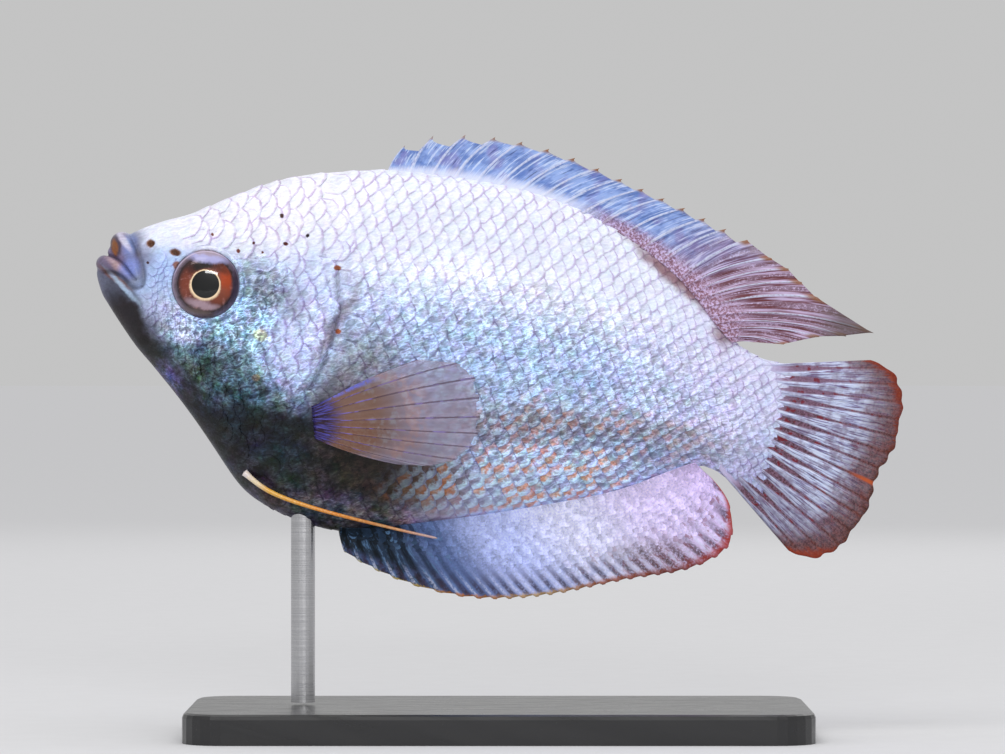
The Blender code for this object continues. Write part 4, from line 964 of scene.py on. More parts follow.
def anal_paint(nodes, place):
    """Slate in front, then pale lilac, with dark gaps between the rays and a warm rim."""
    rays = fin_rays(nodes, 0.15, 2.0, 0.0)
    share, number = rays["Share"], rays["Number"]
    fine = nodes.noise(place, 0.22, 3.0, 0.75)
    patchy = nodes.noise(place, 0.9, 3.0, 0.65)
    streak = streaked(nodes, rays, 0.25, 0.2)
    part = nodes.times(number, 1 / (ANAL_RAYS - 1))
    colour = nodes.ramp(
        part, (0.0, 24, 34, 44), (0.13, 36, 54, 78), (0.24, 92, 112, 164), (0.42, 190, 200, 252),
        (0.62, 224, 224, 255), (0.85, 228, 212, 255), (1.0, 214, 192, 240),
    )
    swell = nodes.stray(nodes.stray(1.0, fine, 1.3), patchy, 0.7)
    colour = nodes.tinted(colour, nodes.grey(swell))
    teal = nodes.times((streak, 0.5, 0.66), (part, 0.34, 0.2))
    colour = nodes.cover(colour, tone(96, 134, 178), teal, 0.7)
    gaps = nodes.ease(nodes.calc("ABSOLUTE", rays["Phase"]), 0.16, 0.4)
    front = nodes.ease(part, 0.3, 0.14)
    colour = nodes.cover(colour, tone(8, 16, 22), gaps, front, 0.85)
    lower = nodes.times((share, 0.55, 0.85), (part, 0.8, 0.6), (patchy, 0.42, 0.6))
    colour = nodes.cover(colour, tone(96, 118, 176), lower, 0.5)
    # dark stripes and pale rays show towards the edge
    edge = nodes.ease(share, 0.55, 0.9)
    colour = nodes.cover(colour, tone(58, 44, 62), gaps, edge, (fine, 0.3, 0.55), 0.85)
    rear = nodes.ease(part, 0.4, 0.8)
    dots = nodes.times((streaked(nodes, rays, 0.12, 0.3), 0.52, 0.64), (share, 0.3, 0.8), rear)
    colour = nodes.cover(colour, tone(136, 70, 84), dots, 0.75)
    brown = nodes.times(nodes.ellipse(place, (61.5, -14.5), (4.2, 1.6), -15, 0.6), (fine, 0.35, 0.6))
    colour = nodes.cover(colour, tone(98, 62, 52), brown, 0.7)
    glow = nodes.times(rays["Ray"], edge, (fine, 0.35, 0.6))
    colour = nodes.cover(colour, tone(206, 212, 240), glow, 0.6)
    rim = nodes.ramp(
        part, (0.0, 196, 190, 150), (0.12, 186, 160, 66), (0.22, 190, 116, 40), (0.4, 196, 160, 104),
        (0.6, 160, 84, 44), (0.75, 130, 56, 34), (0.9, 176, 50, 28), (1.0, 184, 74, 56),
    )
    width = nodes.ease(part, 0.45, 0.8, 0.93, 0.87)
    spread = nodes.stray(share, fine, 0.14)
    edging = nodes.ease(spread, width, 0.98)
    colour = nodes.cover(colour, rim, edging, 0.9)
    return colour, nodes.ease(share, 0.9, 1.0, 1.0, 0.9), fine


def anal_look(nodes, place):
    return fin_look(nodes, place, *anal_paint(nodes, place))


def granule_look(nodes, place):
    """The anal fin's colour on the tiny scales over its foot, each in its own tone, with painted shade at
    its root and painted light at its tip.
    """
    colour, _, relief = anal_paint(nodes, place)
    _, reach, _ = nodes.split(uv_map(nodes, "scale"))
    own = nodes.ease(attribute(nodes, "tint"), 0.0, 1.0, 0.94, 1.26)
    # each granule's own tone, times painted shade at its root and painted light at its tip
    shade = nodes.times(own, (reach, 0.1, 0.9, 0.86, 1.08))
    return fin_look(nodes, place, nodes.tinted(colour, nodes.grey(shade)), 1.0, relief)


def tail_look(nodes, place):
    """Pale streaked rays on a red-brown membrane, with orange corners."""
    rays = fin_rays(nodes, 0.3, TAIL_SPLIT, 0.2)
    share, number = rays["Share"], rays["Number"]
    streak = streaked(nodes, rays, 0.16, 0.11)
    fine = nodes.noise(place, 0.22, 3.0, 0.75)
    patchy = nodes.noise(place, 1.6, 3.0, 0.65)
    part = nodes.times(number, 1 / (TAIL_RAYS - 1))
    membrane = nodes.cover(tone(72, 44, 52), tone(130, 98, 120), (fine, 0.35, 0.65))
    membrane = nodes.cover(membrane, tone(150, 120, 150), (part, 0.4, 0.0, 0.0, 0.5))
    membrane = nodes.cover(membrane, tone(178, 160, 198), (share, 0.3, 0.06))
    dots = nodes.times((nodes.noise(place, 0.6, 1.0), 0.58, 0.64), (share, 0.1, 0.25))
    membrane = nodes.cover(membrane, tone(116, 28, 40), dots, 0.85)
    low = nodes.ease(part, 0.6, 0.95)
    ray = nodes.cover(tone(134, 134, 188), tone(216, 226, 252), (streak, 0.36, 0.58))
    ray = nodes.cover(ray, tone(118, 92, 126), (patchy, 0.46, 0.64), 0.55)
    ray = nodes.cover(ray, tone(100, 86, 114), low, 0.5)
    gone = nodes.ease(nodes.stray(share, patchy, 0.6), 0.62, 0.98)
    strong = nodes.ease(streak, 0.3, 0.5, 0.2, 1.0)
    mask = nodes.times(rays["Ray"], nodes.calc("MULTIPLY_ADD", gone, -0.7, 1.0), strong)
    colour = nodes.cover(membrane, ray, mask)
    # the stalk's pale colour gives way to rays over the first part
    root = nodes.ease(nodes.stray(share, streak, 0.3), 0.26, 0.06)
    colour = nodes.cover(colour, nodes.cover(tone(166, 158, 200), tone(216, 212, 242), fine), root, 0.85)
    # a thin orange rim, broader at the upper and lower corner, with one bright streak behind the middle
    corners = nodes.calc("MAXIMUM", nodes.ease(part, 0.3, 0.05), nodes.ease(part, 0.84, 0.95))
    start = nodes.calc("MULTIPLY_ADD", corners, -0.05, 0.945)
    spread = nodes.stray(nodes.stray(share, streak, 0.22), patchy, 0.1)
    brown = nodes.ease(spread, nodes.calc("SUBTRACT", start, 0.26), start)
    dusk = nodes.cover(tone(70, 36, 30), tone(122, 72, 60), (fine, 0.35, 0.65))
    colour = nodes.cover(colour, dusk, brown, 0.75)
    rim = nodes.ease(spread, start, nodes.calc("ADD", start, 0.07))
    orange = nodes.cover(tone(134, 44, 14), tone(84, 40, 22), (part, 0.2, 0.5))
    orange = nodes.cover(orange, tone(150, 48, 12), (part, 0.78, 0.9))
    orange = nodes.cover(orange, tone(176, 82, 34), (fine, 0.5, 0.7), 0.45)
    colour = nodes.cover(colour, orange, rim, 0.9)
    aside = nodes.apart(nodes.calc("MULTIPLY_ADD", streak, 0.02, part), 0.545)
    bright = nodes.times((aside, 0.014, 0.002), (share, 0.76, 0.94))
    colour = nodes.cover(colour, tone(200, 92, 42), bright, 0.85)
    return fin_look(nodes, place, colour, nodes.ease(share, 0.3, 0.95, 1.0, 0.9), streak)


def pectoral_look(nodes, place):
    """A clear brownish membrane with violet rays at its root."""
    rays = fin_rays(nodes, 0.07, 2.0, 0.0)
    share, number = rays["Share"], rays["Number"]
    streak = streaked(nodes, rays, 0.12, 0.3)
    part = nodes.times(number, 1 / (PECTORAL_RAYS - 1))
    fine = nodes.noise(place, 0.3, 2.0)
    patchy = nodes.noise(place, 1.1, 3.0, 0.6)
    colour = nodes.cover(tone(136, 106, 94), tone(166, 156, 178), (share, 0.35, 0.7))
    warm = nodes.times((part, 0.25, 0.6), (share, 0.6, 0.2), (fine, 0.35, 0.6))
    colour = nodes.cover(colour, tone(126, 78, 56), warm, 0.5)
    blush = nodes.times((share, 0.48, 0.6), (share, 0.74, 0.62), (patchy, 0.4, 0.56))
    colour = nodes.cover(colour, tone(196, 150, 138), blush, 0.6)
    pale = nodes.times((patchy, 0.52, 0.66), (share, 0.2, 0.5))
    colour = nodes.cover(colour, tone(180, 200, 218), pale, 0.25)
    flecks = nodes.cover(tone(76, 54, 70), tone(120, 98, 168), (streak, 0.5, 0.62))
    colour = nodes.cover(colour, flecks, rays["Ray"], 0.8)
    leading = nodes.times((part, 0.07, 0.02), (share, 0.62, 0.45))
    colour = nodes.cover(colour, tone(120, 124, 222), leading, (fine, 0.3, 0.55))
    glow = nodes.times(rays["Ray"], (streak, 0.48, 0.58), (share, 0.5, 0.25))
    colour = nodes.cover(colour, tone(130, 122, 220), glow, 0.85)
    colour = nodes.cover(colour, tone(30, 22, 52), (share, 0.2, 0.06), 0.85)
    root = nodes.times((share, 0.2, 0.05), (streak, 0.45, 0.6))
    colour = nodes.cover(colour, tone(104, 100, 204), root, 0.9)
    body = nodes.ease(share, 0.2, 0.7, 0.86, 0.42)
    opacity = nodes.calc("MAXIMUM", body, nodes.times(rays["Ray"], 0.75))
    return fin_look(nodes, place, colour, opacity, streak)


def feeler_look(nodes, place):
    """A smooth thread: white root, golden middle, pinkish tip."""
    share, _, _ = nodes.split(uv_map(nodes, "thread"))
    colour = nodes.ramp(
        share, (0.0, 222, 214, 222), (0.12, 226, 208, 180), (0.26, 226, 164, 44),
        (0.6, 224, 132, 20), (0.8, 206, 132, 76), (1.0, 190, 156, 168),
    )
    grain = nodes.noise(place, 0.25, 3.0)
    colour = nodes.cover(colour, tone(250, 226, 160), (grain, 0.35, 0.7, 0.0, 0.3))
    return dict(
        Base_Color=colour,
        Roughness=0.38,
        Normal=bump(nodes, grain, 0.03, 0.5),
        Coat_Weight=0.3,
        Coat_Roughness=0.15,
    )


def base_look(nodes, place):
    """Satin black acrylic with a fine orange-peel, faint wiping marks and a little dust."""
    peel = nodes.noise(place, 0.35, 2.0)
    wiped = nodes.noise(nodes.stretch(place, (16.0, 1.0, 1.0)), 1.2, 4.0, 0.7)
    dust = nodes.ease(nodes.noise(place, 0.25, 2.0, 0.8), 0.68, 0.78)
    colour = nodes.cover(tone(24, 24, 26), tone(120, 118, 114), dust, 0.25)
    return dict(
        Base_Color=colour,
        Roughness=nodes.ease(wiped, 0.3, 0.7, 0.26, 0.4),
        Normal=bump(nodes, peel, 0.01, 0.4),
        Coat_Weight=0.3,
        Coat_Roughness=0.18,
    )


def rod_look(nodes, place):
    """Brushed steel, with fine lines round the rod."""
    lines = nodes.noise(nodes.stretch(place, (30.0, 30.0, 0.07), -NOSE_UP), 1.0, 3.0, 0.7)
    colour = nodes.cover(tone(176, 176, 179), tone(200, 200, 202), (lines, 0.3, 0.7))
    return dict(
        Base_Color=colour,
        Metallic=1.0,
        Roughness=nodes.ease(lines, 0.3, 0.7, 0.24, 0.4),
        Normal=bump(nodes, lines, 0.005, 0.3),
    )


# The skin.


def roll_distance(places, stations):
    """How far places are from a roll on both sides of the fish, below 0 inside it."""
    line = path_through(np.linspace(0, 1, len(stations)), stations)(np.linspace(0, 1, ROLL_STEPS))
    starts, steps = line[:-1, :3], np.diff(line[:, :3], axis=0)
    folded = places * (1, 0, 1) + np.abs(places) * (0, 1, 0)
    offsets = folded[:, None, :] - starts
    share = np.clip((offsets * steps).sum(-1) / (steps**2).sum(-1), 0, 1)
    radius = line[:-1, 3] + share * np.diff(line[:, 3])
    return (np.linalg.norm(offsets - share[..., None] * steps, axis=-1) - radius).min(1)


def soft_union(first, second, blend):
    """The nearer of two distances, blended where they are alike."""
    closeness = np.maximum(blend - np.abs(first - second), 0) / blend
    return np.minimum(first, second) - closeness**2 * blend / 4


def face_distance(places, rise):
    """How far places are from the face with its lips. rise is their height over the plain body."""
    distance = rise
    for roll in (UPPER_JAW, UPPER_LIP, LOWER_LIP):
        distance = soft_union(distance, roll_distance(places, roll), LIP_BLEND)
    return distance


def smooth_outline(points, count=120):
    """A closed smooth outline through points, as an array of places."""
    ring = np.vstack([points[-2:], points, points[:2]])
    return path_through(np.arange(len(ring)), ring)(2 + len(points) * np.arange(count) / count)


def outline_distance(along, up, outline):
    """The distance from an outline in side view, below 0 inside it."""
    places = np.stack([along, up], -1)[..., None, :]
    starts, ends = outline, np.roll(outline, -1, axis=0)
    steps = ends - starts
    share = np.clip(((places - starts) * steps).sum(-1) / (steps**2).sum(-1), 0, 1)
    distance = np.linalg.norm(places - starts - share[..., None] * steps, axis=-1).min(-1)
    level = up[..., None]
    passes = (starts[:, 1] > level) != (ends[:, 1] > level)
    climbs = np.where(steps[:, 1] == 0, 1e-9, steps[:, 1])
    meets = starts[:, 0] + steps[:, 0] * (level - starts[:, 1]) / climbs
    inside = (passes & (along[..., None] < meets)).sum(-1) % 2 == 1
    return np.where(inside, -distance, distance)


def gill_cover_distance(along, up):
    """The distance from the gill cover's edge, below 0 on the cover."""
    outline = smooth_outline(np.array(GILL_COVER))
    outline[:, 0] = np.minimum(outline[:, 0], gill_slit(outline[:, 1]))
    return outline_distance(along, up, outline)


def eye_distance(along, up):
    return np.hypot(along - EYE_PLACE[0], up - EYE_PLACE[1])


def head_relief(along, up):
    """How far the face stands out of the plain body, and how deep in a crevice each place is, which sets the
    painted shade there.
    """
    near_head = along < HEAD_END
    cover = np.full(along.shape, 9.0)
    cover[near_head] = gill_cover_distance(along[near_head], up[near_head])
    rear = smooth_step(along, *COVER_REAR)
    plate = smooth_step(-cover, *COVER_STEP) * rear + smooth_step(-cover, *COVER_SLOPE) * (1 - rear)
    slit_depth, slit_width = SLIT
    slit = np.exp(-(((cover - slit_width) / slit_width) ** 2)) * rear
    eye = eye_distance(along, up)
    socket_depth, *socket_edge = SOCKET
    pouch_height, pouch_radius, pouch_width = POUCH
    pouch = np.exp(-(((eye - pouch_radius) / pouch_width) ** 2))
    relief = GILL_COVER_PROUD * plate - slit_depth * slit + pouch_height * pouch
    relief -= socket_depth * smooth_step(-eye, *socket_edge)
    # the gill slit and the nostril pits get painted shade through the crevice value
    crevice = 0.8 * slit
    rim_height, rim_radius, rim_width = NOSTRIL_RIM
    pit_depth, *pit_edge = NOSTRIL_PIT
    for place, level, long, tall, lean in NOSTRILS:
        dx, dz = along - place, up - level
        turned = math.radians(lean)
        u = (dx * math.cos(turned) - dz * math.sin(turned)) / long
        v = (dx * math.sin(turned) + dz * math.cos(turned)) / tall
        reach = np.hypot(u, v)
        relief += rim_height * np.exp(-(((reach - rim_radius) / rim_width) ** 2))
        relief -= pit_depth * smooth_step(-reach, *pit_edge)
        crevice += 0.6 * smooth_step(-reach, -1.0, -0.5)
    return relief, crevice


def skin_grid(coat_depth):
    """The skin's places along and round the fish, its points and how deep in a crevice each is."""
    nose = NOSE_START + NOSE_ROUNDING * (1 - np.cos(np.linspace(0, math.pi / 2, NOSE_COLUMNS + 1)))
    parts = [np.linspace(start, end, count + 1)[1:] for start, end, count in HEAD_COLUMNS]
    alongs = np.concatenate([nose] + parts)
    turns = np.linspace(-1, 1, SKIN_ROWS + 1)
    plain = body_point(alongs[:, None], turns[None, :])
    step, turn_step = PROBE
    ahead = body_point(np.minimum(alongs + step, SKIN_END)[:, None], turns[None, :])
    behind = body_point(np.maximum(alongs - step, NOSE_START)[:, None], turns[None, :])
    above = body_point(alongs[:, None], np.minimum(turns + turn_step, 1)[None, :])
    below = body_point(alongs[:, None], np.maximum(turns - turn_step, -1)[None, :])
    normals = np.cross(ahead - behind, above - below)
    normals[:, (0, -1), 1] = 0
    normals[0] = (-1, 0, 0)
    normals = unit(normals)
    rise, crevice = head_relief(plain[..., 0], plain[..., 2])
    bare = smooth_step(-plain[..., 0], *BARE_FACE)
    rise = rise - coat_depth * (1 - bare)
    face = plain[..., 0] < MOUTH_END
    start, out, base = plain[face], normals[face], rise[face]
    height = np.full(len(start), TRACE_START)
    for _ in range(TRACE_STEPS):
        distance = face_distance(start + out * height[:, None], height - base)
        height = np.maximum(height - TRACE_PACE * distance, base - TRACE_FLOOR)
    surface = start + out * height[:, None]
    # the creases sink the face and add painted shade through the crevice value
    for groove, depth, reach, shade in CREASES:
        closeness = np.exp(-((np.maximum(roll_distance(surface, groove), 0) / reach) ** 2))
        height -= depth * closeness
        crevice[face] += shade * closeness**2
    rise[face] = height
    left = plain + normals * rise[..., None]
    left[:, (0, -1), 1] = 0
    left[..., 1] = np.minimum(left[..., 1], 0)
    left[-1, :, 1] = 0
    right = left[:, -2::-1] * (1, -1, 1)
    points = np.concatenate([left, right], 1)
    crevices = np.concatenate([crevice, crevice[:, -2::-1]], 1)
    return alongs, np.linspace(-1, 3, 2 * SKIN_ROWS + 1), points, np.clip(crevices, 0, 1)


def store_values(mesh, name, values, kind="FLOAT"):
    """Stores a value or a vector for every vertex."""
    layer = mesh.attributes.new(name, kind, "POINT")
    key = "vector" if kind == "FLOAT_VECTOR" else "value"
    layer.data.foreach_set(key, np.asarray(values, np.float32).ravel())


def unwrap(alongs, turns):
    """Where a place on the skin lies on the unwrap: along the fish, and round it."""
    return stacked(alongs / SKIN_END, (turns + 1) / 4)


# Scales.


def plate_template(long_cells, wide_cells):
    """A closed plate: its vertices as (share along, -1 to 1 across, 0 below or 1 on top) and its faces."""
    bm = bmesh.new()
    bmesh.ops.create_grid(bm, x_segments=long_cells, y_segments=wide_cells, size=1.0)
    raised = bmesh.ops.extrude_face_region(bm, geom=bm.faces[:], use_keep_orig=True)["geom"]
    tops = [item for item in raised if isinstance(item, bmesh.types.BMVert)]
    bmesh.ops.translate(bm, vec=(0, 0, 1), verts=tops)
    bmesh.ops.recalc_face_normals(bm, faces=bm.faces)
    bm.verts.index_update()
    corners = np.array([((v.co.x + 1) / 2, v.co.y, v.co.z) for v in bm.verts])
    faces = np.array([[v.index for v in face.verts] for face in bm.faces])
    bm.free()
    return corners, faces


def lay_plates(surface, roots, lie, sizes, shape, template):
    """The vertices of all plates. roots are (along, across) on the surface, lie is the way each plate
    points, sizes are (length, half width) and shape is (sink, rise, thickness, arc)."""
    corners, _ = template
    along, across = roots[:, 0], roots[:, 1]
    first, second, normal = surface.slopes(along, across)
    lie = unit(lie - (lie * normal).sum(-1, keepdims=True) * normal)
    side = np.cross(normal, lie)
    aa, ab, bb = (first**2).sum(-1), (first * second).sum(-1), (second**2).sum(-1)
    scale = aa * bb - ab**2
    t, w, top = corners.T
    length, half = sizes[:, :1], sizes[:, 1:2]
    sink, rise, thickness, arc = shape
    forward = t * (1 - arc * w**2) * length
    sideways = w * (1 - SCALE_NARROWING * t) * half
    height = -sink + rise * t + SCALE_DOME * (1 - w**2) * t
    height = height + top * thickness * (1 - SCALE_THINNING * t**3)
    move = forward[..., None] * lie[:, None] + sideways[..., None] * side[:, None]
    a = (move * first[:, None]).sum(-1)
    b = (move * second[:, None]).sum(-1)
    d_along = (a * bb[:, None] - b * ab[:, None]) / scale[:, None]
    d_across = (b * aa[:, None] - a * ab[:, None]) / scale[:, None]
    base = surface.at(along[:, None] + d_along, across[:, None] + d_across)
    return base + normal[:, None] * height[:, None]


def plates_piece(name, points, template, material, bake_roots, upside, values):
    """Joins the plates into one mesh with their maps and values. upside says which way is up."""
    corners, faces = template
    count, size = points.shape[:2]
    world = points.reshape(-1, 3) @ np.array(TO_MODEL.to_3x3()).T + np.array(TO_MODEL.translation)
    all_faces = (faces[None] + (np.arange(count) * size)[:, None, None]).reshape(-1, 4)
    mesh = bpy.data.meshes.new(name)
    mesh.from_pydata(world.tolist(), [], all_faces.tolist())
    t, w, top = corners.T
    inset = BAKE_UNDERSIDE + (1 - BAKE_UNDERSIDE) * top
    patch = stacked(t - 0.5, w * 0.5) * inset[:, None] * BAKE_PATCH
    order = faces.ravel()
    own_places = stacked(w, t)[order][None] * stacked(upside, np.ones(count))[:, None]
    for map_name, places in (("scale", own_places), ("OFBake", bake_roots[:, None] + patch[order][None])):
        layer = mesh.uv_layers.new(name=map_name)
        layer.data.foreach_set("uv", places.astype(np.float32).ravel())
    for key, (kind, value) in values.items():
        store_values(mesh, key, np.repeat(value, size, axis=0), kind)
    return add_mesh_piece(name, mesh, material, sharp=SCALE_CREASE)


def ring_arcs(surface):
    """The distance round the skin from the keel, over the left side, at each of its grid points."""
    half = len(surface.acrosses) // 2 + 1
    steps = np.linalg.norm(np.diff(surface.points[:, :half], axis=1), axis=-1)
    return np.concatenate([np.zeros((len(steps), 1)), np.cumsum(steps, 1)], 1)


def place_on_rows(surface, arcs, along, arc_from_line, line):
    """The turn of a place at a distance round the body from a line in side view."""
    half = arcs.shape[1]
    columns = np.interp(along, surface.alongs, np.arange(len(surface.alongs)))
    turns = np.empty(len(along))
    for k, column in enumerate(columns):
        i = min(int(column), len(arcs) - 2)
        share = column - i
        arc = arcs[i] * (1 - share) + arcs[i + 1] * share
        up = surface.points[i, :half, 2]
        start = np.interp(line(along[k]), up, arc)
        goal = start + arc_from_line[k]
        turns[k] = np.interp(goal, arc, surface.acrosses[:half])
        if goal < arc[0] + ROW_MARGIN or goal > arc[-1] - ROW_MARGIN:
            turns[k] = np.nan
    return turns


def lattice(steps, rows):
    """Step and row numbers of a lattice whose odd rows are set back by half a step."""
    step, row = np.meshgrid(np.arange(steps), np.arange(rows[0], rows[1] + 1), indexing="ij")
    return (step + 0.5 * (row % 2)).ravel(), row.ravel().astype(float)


def build_coat(context, name, surface, arcs, rows, seed, template, material):
    """One kind of scales on both sides. rows(rng) gives (along, arc from line, line, keep, sizes)."""
    sizes_set = context.scene.gourami_sizes
    shape = (SCALE_SINK, sizes_set.scale_lift / MM, sizes_set.scale_thickness / MM, SCALE_ARC)
    for side, sign in SIDES.items():
        rng = np.random.default_rng(seed + sign)
        along, arc, line, keep, sizes = rows(rng)
        turn = place_on_rows(surface, arcs, along, arc, line)
        nearby = place_on_rows(surface, arcs, along + LIE_AHEAD, arc, line)
        good = ~np.isnan(turn) & ~np.isnan(nearby)
        along, turn, nearby, sizes = along[good], turn[good], nearby[good], sizes[good]
        good = keep(along, surface.at(along, turn)[:, 2])
        along, turn, nearby, sizes = along[good], turn[good], nearby[good], sizes[good]
        girth = turn
        if sign > 0:
            turn, nearby = 2 - turn, 2 - nearby
        place = surface.at(along, turn)
        lie = surface.at(along + LIE_AHEAD, nearby) - place + rng.normal(0, LIE_SCATTER, place.shape)
        points = lay_plates(surface, stacked(along, turn), lie, sizes, shape, template)
        values = {"girth": ("FLOAT", girth), "tint": ("FLOAT", rng.random(len(along)))}
        upside = np.full(len(along), -sign)
        bake = unwrap(along, turn)
        plates_piece(f"{name}_{side}", points, template, material, bake, upside, values)


def trunk_rows(rng):
    """Body scales in rows along the fish, which draw together towards the tail."""
    steps, rows = lattice(44, (-24, 16))
    stations = (20, 30, 45, 58, 66, 71)
    upper = smooth_curve(stations, (1.0, 1.0, 0.9, 0.68, 0.56, 0.54))
    lower = smooth_curve(stations, (1.0, 1.0, 0.8, 0.56, 0.5, 0.5))
    pace = smooth_curve((0, 10, 24, 36, 44), (20.5, 35.0, 54.2, 68.0, 76.0))
    along = pace(steps) + rng.normal(0, 0.05, len(steps))
    grow = np.where(rows < 0, lower(along), upper(along))
    arc = rows * (1.3 * grow) + rng.normal(0, 0.03, len(steps))
    line = curve_through(
        [(0, 3), (18, 6.4), (26, 6.7), (37, 6.6), (48, 5.7), (58, 3.8), (66, 1.6), (72, 1.0)]
    )
    sizes = np.stack([2.45 * grow**0.6, 1.36 * grow], -1) * rng.normal(1, 0.025, (len(steps), 1))

    def keep(along, up):
        behind = along > gill_slit(up) + 0.35
        return behind & (gill_cover_distance(along, up) > 0.15) & (along < SKIN_END - 0.6)

    return along, arc, line, keep, sizes


def nape_rows(rng):
    """Large scales over the forehead and nape."""
    steps, rows = lattice(13, (-7, 7))
    along = 6.6 + steps * 1.62 + rng.normal(0, 0.16, len(steps))
    grow = np.interp(along, (6, 14, 22), (0.72, 1.0, 0.92))
    arc = rows * 1.45 * grow + rng.normal(0, 0.14, len(steps))
    line = curve_through([(5, 3.6), (8, 5.2), (12, 7.4), (18, 9.0), (26, 10.4)])
    sizes = np.stack([2.7 * grow, 1.55 * grow], -1) * rng.normal(1, 0.08, (len(steps), 1))

    def keep(along, up):
        front = np.interp(up, (3, 7), (8.6, 6.2))
        clear = (eye_distance(along, up) > EYE_CLEAR + 0.05) & (gill_cover_distance(along, up) > 0.3)
        return clear & (along < gill_slit(up) + 0.35) & (up > 1.5) & (along > front)

    return along, arc, line, keep, sizes


def cheek_rows(rng):
    """Small scales on the cheek and throat, smallest towards the mouth."""
    steps, rows = lattice(25, (-20, 12))
    along = np.interp(steps, (0, 5, 12, 25), (5.6, 8.6, 14.4, 29.0)) + rng.normal(0, 0.09, len(steps))
    grow = np.interp(along, (5.6, 9.0, 14.0), (0.55, 0.78, 1.06))
    arc = (rows + rng.normal(0, 0.08, len(steps))) * 0.98 * grow
    line = curve_through([(5, -1.0), (12, -3.2), (20, -3.0), (28, -3.4)])
    sizes = np.stack([1.95 * grow, 1.06 * grow], -1) * rng.normal(1, 0.08, (len(steps), 1))

    def keep(along, up):
        bare = belly(along) + 1.5 + 1.6 * smooth_step(-along, -15, -9)
        clear = (eye_distance(along, up) > EYE_CLEAR) & (gill_cover_distance(along, up) > -0.2)
        return clear & (along < gill_slit(up) - 0.2) & (up < 2.6) & (up > bare)

    return along, arc, line, keep, sizes


def cover_rows(rng):
    """Broad scales on the gill covers."""
    steps, rows = lattice(11, (-9, 9))
    along = 11.8 + steps * 1.5 + rng.normal(0, 0.12, len(steps))
    arc = rows * 1.3 + rng.normal(0, 0.1, len(steps))
    line = curve_through([(10, -5.0), (16, -2.8), (21, -1.6), (28, -1.4)])
    sizes = np.stack([np.full(len(steps), 2.35), np.full(len(steps), 1.36)], -1)
    sizes = sizes * rng.normal(1, 0.08, (len(steps), 1))

    def keep(along, up):
        ahead = gill_cover_distance(along + 1.9, up)
        inside = gill_cover_distance(along, up) < -0.2
        return inside & (ahead < 0.25) & (eye_distance(along, up) > EYE_CLEAR)

    return along, arc, line, keep, sizes


# Fins.


def bowed(root, tip, share, bow):
    """A point on rays from root to tip that bow to one side by a share of their length."""
    hump = bow * 4 * share * (1 - share)
    run, climb = tip[..., 0] - root[..., 0], tip[..., 1] - root[..., 1]
    return root[..., 0] + run * share - climb * hump, root[..., 1] + climb * share + run * hump


def notched(numbers, front, rear, spine=0.08, drop=0.5):
    """How far each column of a fin reaches: full at its rays, less on the membrane, which falls off
    behind a ray and stops lowest in front of the next one. A low drop falls off at once."""
    behind = np.floor(numbers + 1e-6)
    phase = np.clip((numbers - behind - spine) / (1 - 2 * spine), 0, 1)
    dip = rear(behind) + (front(behind + 1) - rear(behind)) * phase**drop
    at_ray = (numbers - behind < spine) | (numbers - behind > 1 - spine)
    return 1 - np.where(at_ray, 0.0, dip)


def scalloped(numbers, depth):
    """How far each column of a fin reaches where its edge bulges in a small arc between its rays."""
    return 1 - depth * np.abs(np.cos(numbers * math.pi)) ** 3


def ridges(numbers, shares, width, split=2.0, parting=0.0):
    """The height share of the ridge that each ray makes on a fin, in two branches past its split."""
    phase = numbers - np.round(numbers)
    parted = np.minimum(np.maximum(shares - split, 0) * 4, 1) * parting
    return np.exp(-(((np.abs(phase) - parted) / width) ** 2))


def fin_bmesh(numbers, shares, middle, aside, half, reach):
    """A closed fin: both faces as one grid that runs from the root over the tip and back. Also gives
    its two faces as surfaces."""
    number, share = numbers[:, None], shares[None, :] * reach[:, None]
    middles, normals, halves = middle(number, share), aside(number, share), half(number, share)
    ends = np.ones(len(numbers))
    ends[[0, -1]] = 0
    halves = halves * ends[:, None]
    first = middles - normals * halves[..., None]
    second = middles + normals * halves[..., None]
    foot = middles[:, :1]
    points = np.concatenate([foot, first, second[:, ::-1], foot], 1)
    ray_map = stacked(number / RAY_MAP_LENGTH, share)
    edge = ray_map[:, :1]
    ray_map = np.concatenate([edge, ray_map, ray_map[:, ::-1], edge], 1)
    faces = {"left": Surface(numbers, shares, first), "right": Surface(numbers, shares, second)}
    return warped_grid(points, {"rays": ray_map}), faces


def ray_numbers(rays, columns):
    """The columns of a fin's grid as ray numbers, with so many columns from ray to ray."""
    return np.linspace(0, rays - 1, (rays - 1) * columns + 1)


def straight_aside(number, share):
    """The way across a fin that stands upright: straight to the right."""
    shape = np.broadcast(number, share).shape
    return np.broadcast_to(np.array((0.0, 1.0, 0.0)), shape + (3,))


def pleats(number, share, depth=PLEAT):
    """How far a fin's membrane swings aside between its rays, most at half its height."""
    return depth * np.sin(number * 2 * math.pi) * share * (1 - share) * 4


def thinning(height, sheath, reach, membrane=0.2):
    """Half a fin's thickness from its flesh at the root, its membrane and its ray ridges."""

    def half(share, crest):
        flesh = sheath * np.exp(-share / reach)
        return flesh + membrane * (1 - 0.6 * share) + height * crest * (1 - 0.65 * share)

    return half


